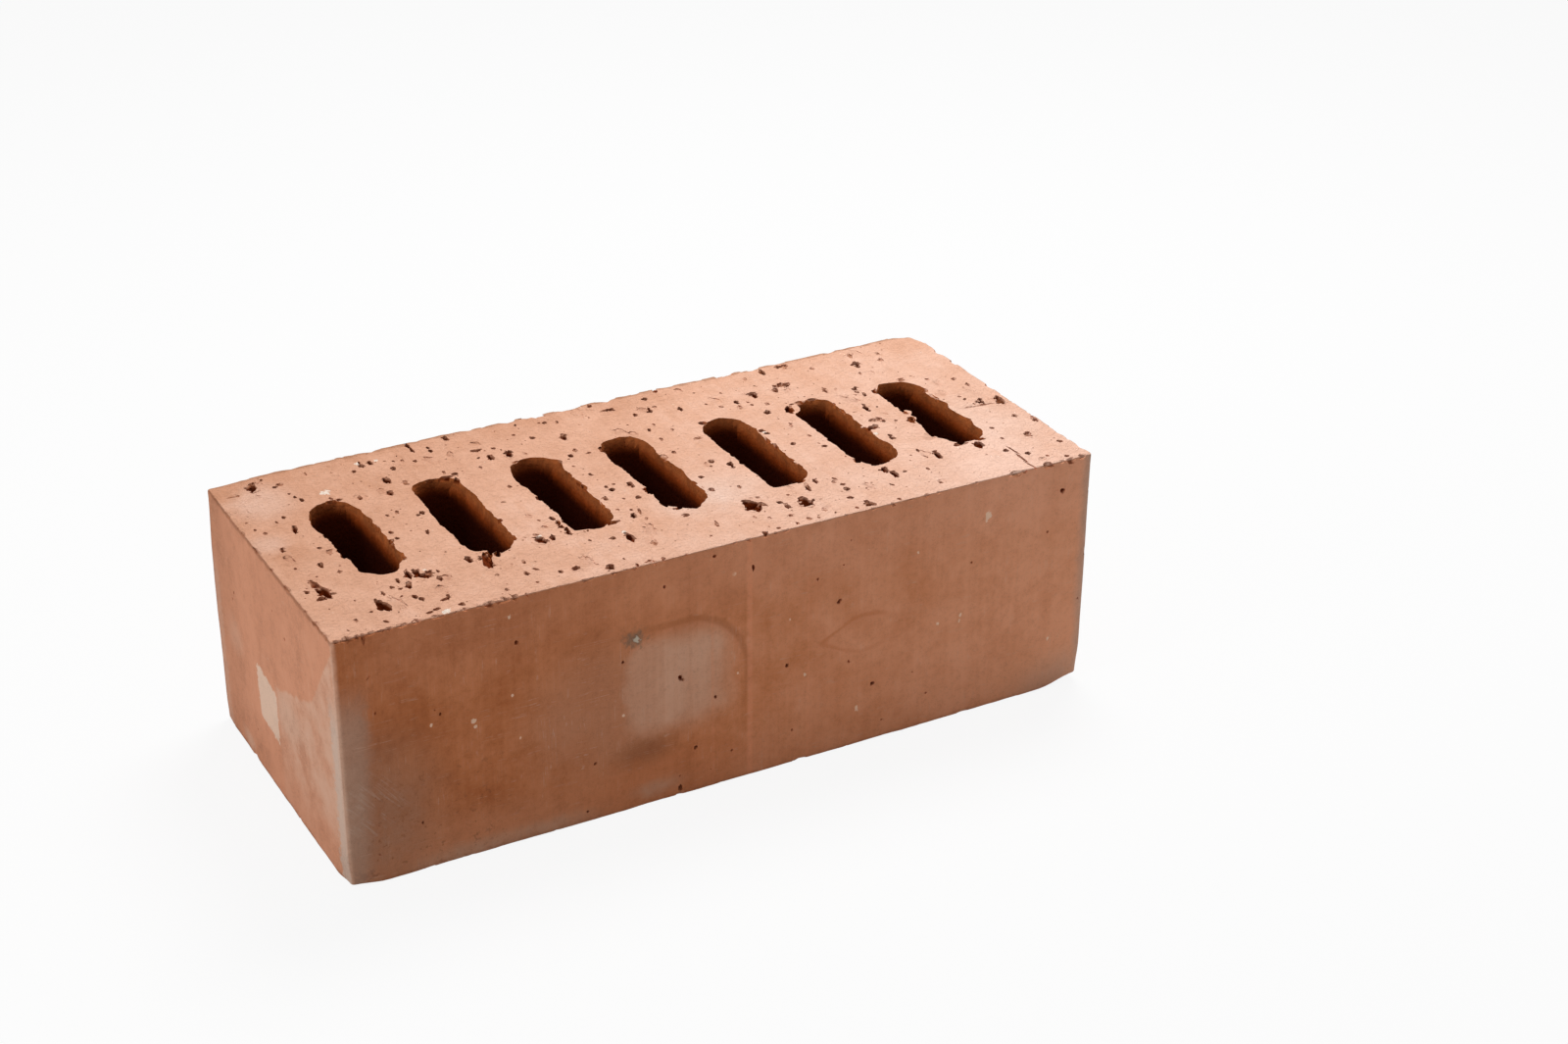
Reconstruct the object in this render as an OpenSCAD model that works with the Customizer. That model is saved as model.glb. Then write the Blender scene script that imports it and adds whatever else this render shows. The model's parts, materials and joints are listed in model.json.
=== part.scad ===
// Wire-cut perforated clay brick, extruded upright through a die and cut to height by a wire.
// It lies on its bed face: length along X, width along Y, height along Z.
// The origin is the middle of the lower bed face.

/* [Brick] */
// Length of the stretcher face
brick_l = 230; // [170:1:300]
// Width of the bed face
brick_w = 100; // [80:1:150]
// Height between the two wire-cut bed faces
brick_h = 75; // [40:1:120]
// Radius of the four upright arrises that the die leaves
arris_r = 2; // [0.5:0.1:8]

/* [Slots] */
// Number of slots in the row
slot_count = 7; // [2:1:9]
// Width of one slot, along the brick
slot_w = 14; // [6:0.5:18]
// Radius of a slot's corners
slot_r = 6; // [0.5:0.5:9]
// Clay between a stretcher face and the slots' ends
side_shell = 26; // [15:0.5:35]
// Clay between a header face and the nearest slot
end_shell = 19.5; // [12:0.5:35]

/* [Hidden] */
$fn = 64;
// How far a cut runs past the bed faces
cut_over = 1;
// Length of one slot, across the brick
slot_l = brick_w - 2 * side_shell;
// Distance between the centres of neighbouring slots
slot_pitch = (brick_l - 2 * end_shell - slot_w) / (slot_count - 1);

// Rectangle centred on the origin, with its corners rounded as far as its sides allow
module rounded_rect(size, r) {
    corner_r = min(r, size.x / 2, size.y / 2);
    inset = [size.x / 2 - corner_r, size.y / 2 - corner_r];
    if (inset.y > 0) square([size.x, 2 * inset.y], center = true);
    if (inset.x > 0) square([2 * inset.x, size.y], center = true);
    for (side_x = [-1, 1], side_y = [-1, 1])
        translate([side_x * inset.x, side_y * inset.y]) circle(r = corner_r);
}

// Column of clay as it leaves the die, before its slots
module clay_column() {
    linear_extrude(height = brick_h) rounded_rect([brick_l, brick_w], arris_r);
}

// One slot, from below the lower bed face to above the upper one
module slot() {
    translate([0, 0, -cut_over])
        linear_extrude(height = brick_h + 2 * cut_over) rounded_rect([slot_w, slot_l], slot_r);
}

// Row of slots along the middle of the brick
module slot_row() {
    for (i = [0 : slot_count - 1])
        translate([(i - (slot_count - 1) / 2) * slot_pitch, 0, 0]) slot();
}

module brick() {
    color("#C98A68") difference() {
        clay_column();
        slot_row();
    }
}

brick();
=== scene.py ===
import functools
import json
import math
import random
import types

import bpy
import numpy as np
from mathutils import Matrix, Vector

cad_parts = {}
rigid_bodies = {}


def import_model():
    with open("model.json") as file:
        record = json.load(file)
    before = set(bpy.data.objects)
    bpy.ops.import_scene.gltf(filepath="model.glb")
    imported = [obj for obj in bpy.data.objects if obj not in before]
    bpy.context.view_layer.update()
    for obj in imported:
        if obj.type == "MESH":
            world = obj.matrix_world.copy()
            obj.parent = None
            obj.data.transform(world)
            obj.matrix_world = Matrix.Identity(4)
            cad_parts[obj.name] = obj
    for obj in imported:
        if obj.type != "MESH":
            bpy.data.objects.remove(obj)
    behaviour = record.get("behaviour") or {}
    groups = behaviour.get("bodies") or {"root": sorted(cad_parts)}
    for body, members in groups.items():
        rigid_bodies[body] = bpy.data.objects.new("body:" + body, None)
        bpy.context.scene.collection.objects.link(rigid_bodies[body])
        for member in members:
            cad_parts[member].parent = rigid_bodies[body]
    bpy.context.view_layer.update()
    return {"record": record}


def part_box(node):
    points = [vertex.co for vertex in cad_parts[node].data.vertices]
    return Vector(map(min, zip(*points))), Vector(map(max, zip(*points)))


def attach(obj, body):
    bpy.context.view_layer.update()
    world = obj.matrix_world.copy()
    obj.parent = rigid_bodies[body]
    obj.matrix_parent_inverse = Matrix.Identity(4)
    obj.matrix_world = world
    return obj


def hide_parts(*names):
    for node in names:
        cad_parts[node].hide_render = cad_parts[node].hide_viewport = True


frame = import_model()
low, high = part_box("brick")
mm = 0.001  # lengths below are in millimetres and are turned into metres where they are used
half = (high - low) / mm / 2
height = round(high.z / mm)


def turned(degrees, axis="Z"):
    return Matrix.Rotation(math.radians(degrees), 3, axis)


# camera at the photograph's viewing angle

viewpoint = {
    "place": (-294.8, -602.9, 401.7),
    "aim": (51.8, 18.1, 37.5),
    "roll": 0.42,  # degrees
    "lens": 60.83,
    "sensor": 36,
}


def addCamera():
    place = Vector(viewpoint["place"]) * mm
    aim = Vector(viewpoint["aim"]) * mm
    bpy.ops.object.camera_add(location=place)
    camera = bpy.context.object
    camera.name = "photoCamera"
    facing = (aim - place).to_track_quat("-Z", "Y").to_matrix()
    camera.rotation_euler = (facing @ turned(viewpoint["roll"])).to_euler()
    camera.data.lens = viewpoint["lens"]
    camera.data.sensor_width = viewpoint["sensor"]
    camera.data.clip_start = 0.01
    bpy.context.scene.camera = camera
    print("camera placed")


# sockets that take part in Python sums, and the nodes behind them

def joined(operation):
    return lambda wire, other: wire.maths(operation, wire, other)


def swapped(operation):
    return lambda wire, other: wire.maths(operation, other, wire)


class Wire:
    def __init__(self, socket):
        self.socket = socket

    def make(self, kind, settings=None, sockets=(), out=0):
        tree = self.socket.id_data
        node = tree.nodes.new(kind)
        for name, value in (settings or {}).items():
            if name == "stops":
                setStops(node.color_ramp, value)
            else:
                setattr(node, name, value)
        pairs = sockets.items() if isinstance(sockets, dict) else enumerate(sockets)
        for key, value in pairs:
            if isinstance(value, Wire):
                tree.links.new(value.socket, node.inputs[key])
            else:
                node.inputs[key].default_value = value
        return Wire(node.outputs[out])

    def maths(self, operation, *values):
        return self.make("ShaderNodeMath", {"operation": operation}, values)

    __add__, __radd__ = joined("ADD"), swapped("ADD")
    __sub__, __rsub__ = joined("SUBTRACT"), swapped("SUBTRACT")
    __mul__, __rmul__ = joined("MULTIPLY"), swapped("MULTIPLY")
    __truediv__ = joined("DIVIDE")
    least, most = joined("MINIMUM"), joined("MAXIMUM")

    def __abs__(self):
        return self.maths("ABSOLUTE", self)

    def ease(self, start, end):  # 0 at start, 1 at end, either way round
        settings = {"interpolation_type": "SMOOTHSTEP"}
        return self.make("ShaderNodeMapRange", settings, {0: self, 1: start, 2: end})

    def vectors(self, operation, *values, out=0):
        return self.make("ShaderNodeVectorMath", {"operation": operation}, (self, *values), out)

    def stretched(self, factors):  # a vector's three parts, each by its own factor
        return self.vectors("MULTIPLY", factors)

    def beside(self, other):  # two values as a flat vector
        return self.make("ShaderNodeCombineXYZ", None, (self, other, 0.0))

    def parts(self):  # a vector's three values
        outs = self.make("ShaderNodeSeparateXYZ", None, (self,)).socket.node.outputs
        return [Wire(out) for out in outs]

    def noise(self, scale, detail=3, roughness=0.55):
        values = {"Vector": self, "Scale": scale, "Detail": detail, "Roughness": roughness}
        return self.make("ShaderNodeTexNoise", None, values)

    def tint(self, base, other):  # base colour, mixed towards the other by this share
        values = {0: self, 6: colour(base), 7: colour(other)}
        return self.make("ShaderNodeMix", {"data_type": "RGBA"}, values, 2)

    def ramp(self, stops):
        return self.make("ShaderNodeValToRGB", {"stops": stops}, (self,))


def colour(value):
    return value if isinstance(value, Wire) else (*value, 1)


def setStops(ramp, stops):
    while len(ramp.elements) < len(stops):
        ramp.elements.new(1)
    for element, (position, value) in zip(ramp.elements, stops):
        element.position = position
        element.color = colour(value)


def newPaint(name):
    paint = bpy.data.materials.new(name)
    paint.use_nodes = True
    return paint, paint.node_tree.nodes["Principled BSDF"]


# plain pale floor, soft lamps and an even sky

studio = {
    "floorSize": 8000,
    "floorColour": (0.8, 0.8, 0.8),
    "floorWhite": 0.9,  # share of the floor that the camera sees as plain white
    "skyStrength": 0.3,
    "lamps": {
        "overhead": {"place": (260, 260, 760), "size": 420, "power": 5.2},
        "leftFill": {"place": (-900, -120, 320), "size": 500, "power": 2.8},
    },
}


def seenDirectly(tree):
    rays = tree.nodes.new("ShaderNodeLightPath").outputs
    direct = Wire(rays["Is Camera Ray"])
    for name in ("Is Glossy Ray", "Is Transmission Ray"):
        direct = direct.most(Wire(rays[name]))
    return direct


def addFloor():
    bpy.ops.mesh.primitive_plane_add(size=studio["floorSize"] * mm)
    floor = bpy.context.object
    floor.name = "studioFloor"
    paint, shader = newPaint("floorPaint")
    shader.inputs["Base Color"].default_value = colour(studio["floorColour"])
    shader.inputs["Roughness"].default_value = 1
    shader.inputs["Specular IOR Level"].default_value = 0
    share = seenDirectly(paint.node_tree) * studio["floorWhite"]
    glow = share.make("ShaderNodeEmission")
    mixed = share.make("ShaderNodeMixShader", None, (share, Wire(shader.outputs["BSDF"]), glow))
    surface = paint.node_tree.nodes["Material Output"].inputs["Surface"]
    paint.node_tree.links.new(mixed.socket, surface)
    floor.data.materials.append(paint)


def addSky():
    sky = bpy.data.worlds.new("studioSky")
    sky.use_nodes = True
    bpy.context.scene.world = sky
    direct = seenDirectly(sky.node_tree)
    dim = studio["skyStrength"]
    strength = direct * (1 - dim) + dim  # plain white where it is seen
    backdrop = sky.node_tree.nodes["Background"]
    backdrop.inputs["Color"].default_value = (1, 1, 1, 1)
    sky.node_tree.links.new(strength.socket, backdrop.inputs["Strength"])


def addLamps():
    aim = (low + high) / 2
    for name, choice in studio["lamps"].items():
        place = Vector(choice["place"]) * mm
        bpy.ops.object.light_add(type="AREA", location=place)
        lamp = bpy.context.object
        lamp.name = name
        lamp.rotation_euler = (aim - place).to_track_quat("-Z", "Y").to_euler()
        lamp.data.shape = "DISK"
        lamp.data.size = choice["size"] * mm
        lamp.data.energy = choice["power"]
    print("studio lit")


# small steps that the brick's making uses again and again

def deselectAll():
    if bpy.context.mode != "OBJECT":
        bpy.ops.object.mode_set(mode="OBJECT")
    bpy.ops.object.select_all(action="DESELECT")


def addBlock(name, corner, opposite):
    deselectAll()
    bpy.ops.mesh.primitive_cube_add(size=1, location=(corner + opposite) / 2)
    block = bpy.context.object
    block.name = name
    block.scale = opposite - corner
    bpy.ops.object.transform_apply(location=True, rotation=True, scale=True)
    return block


def startEdit(kind):  # with nothing selected
    bpy.ops.object.mode_set(mode="EDIT")
    bpy.ops.mesh.select_mode(type=kind)
    bpy.ops.mesh.select_all(action="DESELECT")


def endEdit():
    bpy.ops.object.mode_set(mode="OBJECT")


def selectEdges(piece, test):
    startEdit("EDGE")
    endEdit()
    points = piece.data.vertices
    for edge in piece.data.edges:
        a, b = (points[i].co for i in edge.vertices)
        edge.select = test(a, b)
    bpy.ops.object.mode_set(mode="EDIT")


def runsAlong(axis):
    return lambda a, b: abs(a[axis] - b[axis]) > 0.9 * (a - b).length


def cutAcross(piece, axis, cuts):
    selectEdges(piece, runsAlong(axis))
    bpy.ops.mesh.subdivide(number_cuts=cuts)
    endEdit()


def pointsOf(piece):
    return np.array([v.co for v in piece.data.vertices])


def bedGap(points):  # distance from the nearer bed
    return np.minimum(points[:, 2], high.z - points[:, 2]) / mm


def roundUprights(piece, radius, segments):
    points = pointsOf(piece)
    far = np.abs(points[:, :2] - points[:, :2].mean(0)).max(0) - 1e-5
    middle = Vector(points.mean(0))

    def isCorner(a, b):
        return all(abs(p[i] - middle[i]) > far[i] for p in (a, b) for i in (0, 1))

    selectEdges(piece, lambda a, b: runsAlong(2)(a, b) and isCorner(a, b))
    bpy.ops.mesh.bevel(offset=radius, segments=segments, affect="EDGES")
    endEdit()


def softenRim(radius):  # the sharp edges of the active piece
    startEdit("EDGE")
    bpy.ops.mesh.edges_select_sharp(sharpness=math.radians(60))
    bpy.ops.mesh.bevel(offset=radius, segments=2, affect="EDGES")
    endEdit()


def pickNearest(piece, place):
    points = pointsOf(piece)
    nearest = int(np.argmin(((points - np.array(place) * mm) ** 2).sum(1)))
    startEdit("VERT")
    endEdit()
    piece.data.vertices[nearest].select = True
    bpy.ops.object.mode_set(mode="EDIT")


def nudge(piece, place, move, reach):  # pull the nearest point, its neighbours follow within reach
    pickNearest(piece, place)
    bpy.ops.transform.translate(
        value=Vector(move) * mm,
        use_proportional_edit=True,
        proportional_edit_falloff="SMOOTH",
        proportional_size=reach * mm,
    )
    endEdit()


def makeActive(piece):
    deselectAll()
    piece.select_set(True)
    bpy.context.view_layer.objects.active = piece


def applyModifier(piece, modifier):
    makeActive(piece)
    bpy.ops.object.modifier_apply(modifier=modifier.name)


def combine(piece, tool, operation):
    modifier = piece.modifiers.new("combine", "BOOLEAN")
    modifier.operation = operation
    modifier.solver = "MANIFOLD"
    modifier.object = tool
    applyModifier(piece, modifier)
    bpy.data.objects.remove(tool)


def ripple(piece, size, rise, stretch=(1, 1, 1), weights=None):  # waves of that size and height
    texture = bpy.data.textures.new("clayRipple", "CLOUDS")
    texture.noise_scale = size * mm
    texture.noise_depth = 2
    deselectAll()
    bpy.ops.object.empty_add()
    guide = bpy.context.object
    guide.scale = stretch
    modifier = piece.modifiers.new("ripple", "DISPLACE")
    modifier.texture = texture
    modifier.texture_coords = "OBJECT"
    modifier.texture_coords_object = guide
    modifier.strength = rise * mm
    modifier.mid_level = 0.5
    if weights is not None:
        group = piece.vertex_groups.new(name="rippleShare")
        for i, weight in enumerate(weights):
            group.add([i], float(weight), "REPLACE")
        modifier.vertex_group = group.name
    applyModifier(piece, modifier)
    piece.vertex_groups.clear()
    bpy.data.objects.remove(guide)


# the brick, shaped from one block

brick = {
    "skin": 0.3,  # how far the plain faces lie inside the CAD box
    "grid": (1.8, 1.8, 3.0),
    "arris": 1.2,
    "arrisSteps": 4,
    "rim": 0.5,
    "waves": (34, 0.4),  # size and height of the faces' slow unevenness
    "dents": (9, 0.3),
    "dentFade": ([0, 3], [1, 0.3]),  # distance from a bed, and the share of the dents there
    "dieStreaks": (11, 0.22, (1, 1, 25)),  # size, height and stretch
    "streakFade": ([0.6, 2], [0, 1]),
    "raggedEdge": (2.6, 0.5, 1.4),  # size and height of its waves, and how far it reaches from the edge
    "calmFoot": 0.25,  # share of that raggedness at the lower bed
    "smoothAngle": 32,  # edges that turn by less are shaded smooth
    "wornCorners": [  # sides that meet there along x, y and z, pull and reach
        ((-1, 1, 1), (0.3, -0.4, -0.6), 20),
        ((1, 1, 1), (-0.8, -0.7, -0.7), 9),
        ((-1, -1, -1), (0.6, 0.6, 0.8), 10),
        ((-1, 1, -1), (0.2, -0.3, 0.3), 7),
        ((1, 1, -1), (-0.6, -0.5, 0.6), 8),
        ((1, -1, -1), (-0.3, 0.9, 2.0), 14),
    ],
}

slots = {
    "width": 13.8,
    "corner": 6.8,
    "places": [  # how far each slot lies from its true place, x and y
        (-0.1, 0.8), (0.8, 0), (0.3, -0.3), (-0.8, -0.9), (1, -2), (0.7, -2.8), (0.2, -3),
    ],
    "lengths": [46.8, 48.4, 48.6, 48.8, 47.8, 47, 46.8],
    "cornerSteps": 8,
    "sideCuts": 30,
    "rings": 24,
    "crowding": 1.7,  # how much closer those rings lie near the beds
    "past": 2,  # how far a cutter reaches past each bed
    "lid": 4,  # points nearer the cutter's middle than this are on its two lids
    "clear": 24,  # half the length that marks on a bed keep clear of
    "rag": [(1.7, 1.2), (7, 1)],  # size and height of the torn rim's waves
    "ragStretch": (1, 1, 1.6),
    "ragFade": ([0, 2.5, 9], [1, 0.7, 0.25]),  # distance from a bed, and how torn the wall is there
    "nudges": [  # for each slot: places beside its middle at the top rim, pull and reach
        [((-6.9, 11), (-1.4, 0), 8), ((-6.9, -13), (0.8, 0), 8), ((5.2, -20.2), (-1.2, 0.9), 4.5),
         ((-4.6, -21), (0.5, 0.9), 4), ((6.9, -14.3), (1.2, 0), 2.5), ((6.3, 19.2), (-0.8, -0.4), 5),
         ((6.9, 8), (0.9, 0), 2.5)],
        [((-6.9, 0), (-0.9, 0), 14), ((-5, 22), (-1.2, 0.8), 4), ((-2.8, -23.4), (0.6, 1.5), 4),
         ((-0.6, -24.2), (0, -1.9), 3), ((2.6, -23.7), (0.5, -0.8), 4), ((6.9, 8), (0.7, 0), 8),
         ((5.6, 21.4), (1, 0.6), 4), ((6.9, -8.5), (0.8, 0), 2.5)],
        [((-6.9, 12), (-1.1, 0), 9), ((-6.9, -12), (0.5, 0), 7), ((-5.6, -22), (-0.6, -1.7), 4),
         ((6.8, 17), (1.5, 0.2), 4), ((6.9, 8.3), (-0.8, 0), 2), ((0, -24.3), (0, -0.7), 4)],
        [((-6.9, 11), (-0.9, 0), 8), ((-6.9, -9.5), (0.4, 0), 6), ((0.3, -24.4), (0, -1.8), 4.5),
         ((6.9, 9), (-0.6, 0), 7), ((6.9, -2.5), (0.7, 0), 4), ((-4.7, 22.5), (-0.4, 0.8), 4),
         ((2.8, 23.8), (0.4, 1), 4)],
        [((-5.2, -22.6), (-1.6, -1.8), 4.5), ((-6.9, 6), (-0.6, 0), 10), ((6.9, 13), (0.9, 0), 3),
         ((1, 24), (0.3, 0.7), 4), ((6.9, -8), (-0.4, 0), 5)],
        [((-4.9, 20.2), (1.8, -2.4), 4.5), ((2.4, 23.2), (0.2, 1.7), 3.5), ((5.8, 20.5), (0.6, 1), 3.5),
         ((6.9, 7.8), (0.9, 0), 3), ((-6.6, -18.2), (0.9, 0), 4), ((-4.2, -23), (-0.4, -1), 3),
         ((-1.2, -23.5), (0, -1.4), 3), ((6.9, -13), (0.8, 0), 4)],
        [((-6.9, 2.2), (2.9, 0), 3), ((-6.9, -1.5), (1.6, 0), 3), ((-6.9, -12), (-1.7, 0), 6),
         ((-5.6, -19.5), (0.8, 0.4), 3), ((6.9, 16), (1, 0.2), 3), ((6.9, 11), (-1.1, 0), 3.5),
         ((6.9, 3), (1.2, 0), 4), ((6.9, -10), (1.2, 0), 4), ((-2.7, 23.4), (-0.3, 1.1), 3.5)],
    ],
}


def cornerAt(sides):
    return [(high if side > 0 else low)[axis] / mm for axis, side in enumerate(sides)]


def slotCentres():
    centres = []
    for opening in frame["record"]["physics"]["openings"]:
        corner, opposite = (Vector(p) for p in opening["box_m"])
        middle = (corner + opposite) / 2 / mm
        shift = slots["places"][len(centres)]
        centres.append((middle.x + shift[0], middle.y + shift[1]))
    return centres


def crowdRings(cutter):  # more of the cutter's rings lie near the two beds, where the rims are torn
    middle = (low.z + high.z) / 2
    reach = max(v.co.z for v in cutter.data.vertices) - middle
    for v in cutter.data.vertices:
        share = (v.co.z - middle) / reach
        v.co.z = middle + reach * math.copysign(1 - (1 - abs(share)) ** slots["crowding"], share)


def addSlotCutter(x, y, length, nudges):
    out = Vector((slots["width"] / 2, length / 2, slots["past"]))
    corner = (Vector((x, y, 0)) - out) * mm
    opposite = (Vector((x, y, high.z / mm)) + out) * mm
    cutter = addBlock("slotCutter", corner, opposite)
    roundUprights(cutter, slots["corner"] * mm, slots["cornerSteps"])
    selectEdges(cutter, lambda a, b: runsAlong(1)(a, b) and (a - b).length > length / 2 * mm)
    bpy.ops.mesh.subdivide(number_cuts=slots["sideCuts"])
    endEdit()
    cutAcross(cutter, 2, slots["rings"])
    crowdRings(cutter)
    for (u, v), pull, reach in nudges:
        nudge(cutter, (x + u, y + v, high.z / mm), (*pull, 0), reach)
    points = pointsOf(cutter)
    fromBed = bedGap(points)
    inner = np.abs(points[:, :2] - points[:, :2].mean(0)) / mm
    onWall = (inner.max(1) > slots["lid"]).astype(float)
    weights = onWall * np.interp(fromBed, *slots["ragFade"])
    for size, rise in slots["rag"]:
        ripple(cutter, size, rise, slots["ragStretch"], weights)
    return cutter


def buildBrick():
    skin = Vector((1, 1, 1)) * brick["skin"] * mm
    body = addBlock("clayBrick", low + skin, high - skin)
    for axis, spacing in enumerate(brick["grid"]):
        cutAcross(body, axis, round((high - low)[axis] / mm / spacing) - 1)
    roundUprights(body, brick["arris"] * mm, brick["arrisSteps"])
    softenRim(brick["rim"] * mm)
    for sides, pull, reach in brick["wornCorners"]:
        nudge(body, cornerAt(sides), pull, reach)
    ripple(body, *brick["waves"])
    points = pointsOf(body)
    fromBed = bedGap(points)
    ripple(body, *brick["dents"], weights=np.interp(fromBed, *brick["dentFade"]))
    ripple(body, *brick["dieStreaks"], np.interp(fromBed, *brick["streakFade"]))
    size, rise, reach = brick["raggedEdge"]
    fromDie = np.minimum(high.x - np.abs(points[:, 0]), high.y - np.abs(points[:, 1])) / mm
    share = np.where(points[:, 2] > high.z / 2, 1, brick["calmFoot"])
    fade = np.interp(np.maximum(fromBed, fromDie), [0.5, reach], [1, 0])
    ripple(body, size, rise, weights=share * fade)
    print("block shaped,", len(body.data.polygons), "faces")
    for i, (x, y) in enumerate(slotCentres()):
        combine(body, addSlotCutter(x, y, slots["lengths"][i], slots["nudges"][i]), "DIFFERENCE")
    print("slots cut,", len(body.data.polygons), "faces")
    return body


# pits, gouges, chips and crumbs in the clay

faces = {  # axis that each face looks along, and which way
    "top": (2, 1),
    "bottom": (2, -1),
    "front": (1, -1),
    "back": (1, 1),
    "left": (0, -1),
    "right": (0, 1),
}

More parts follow.
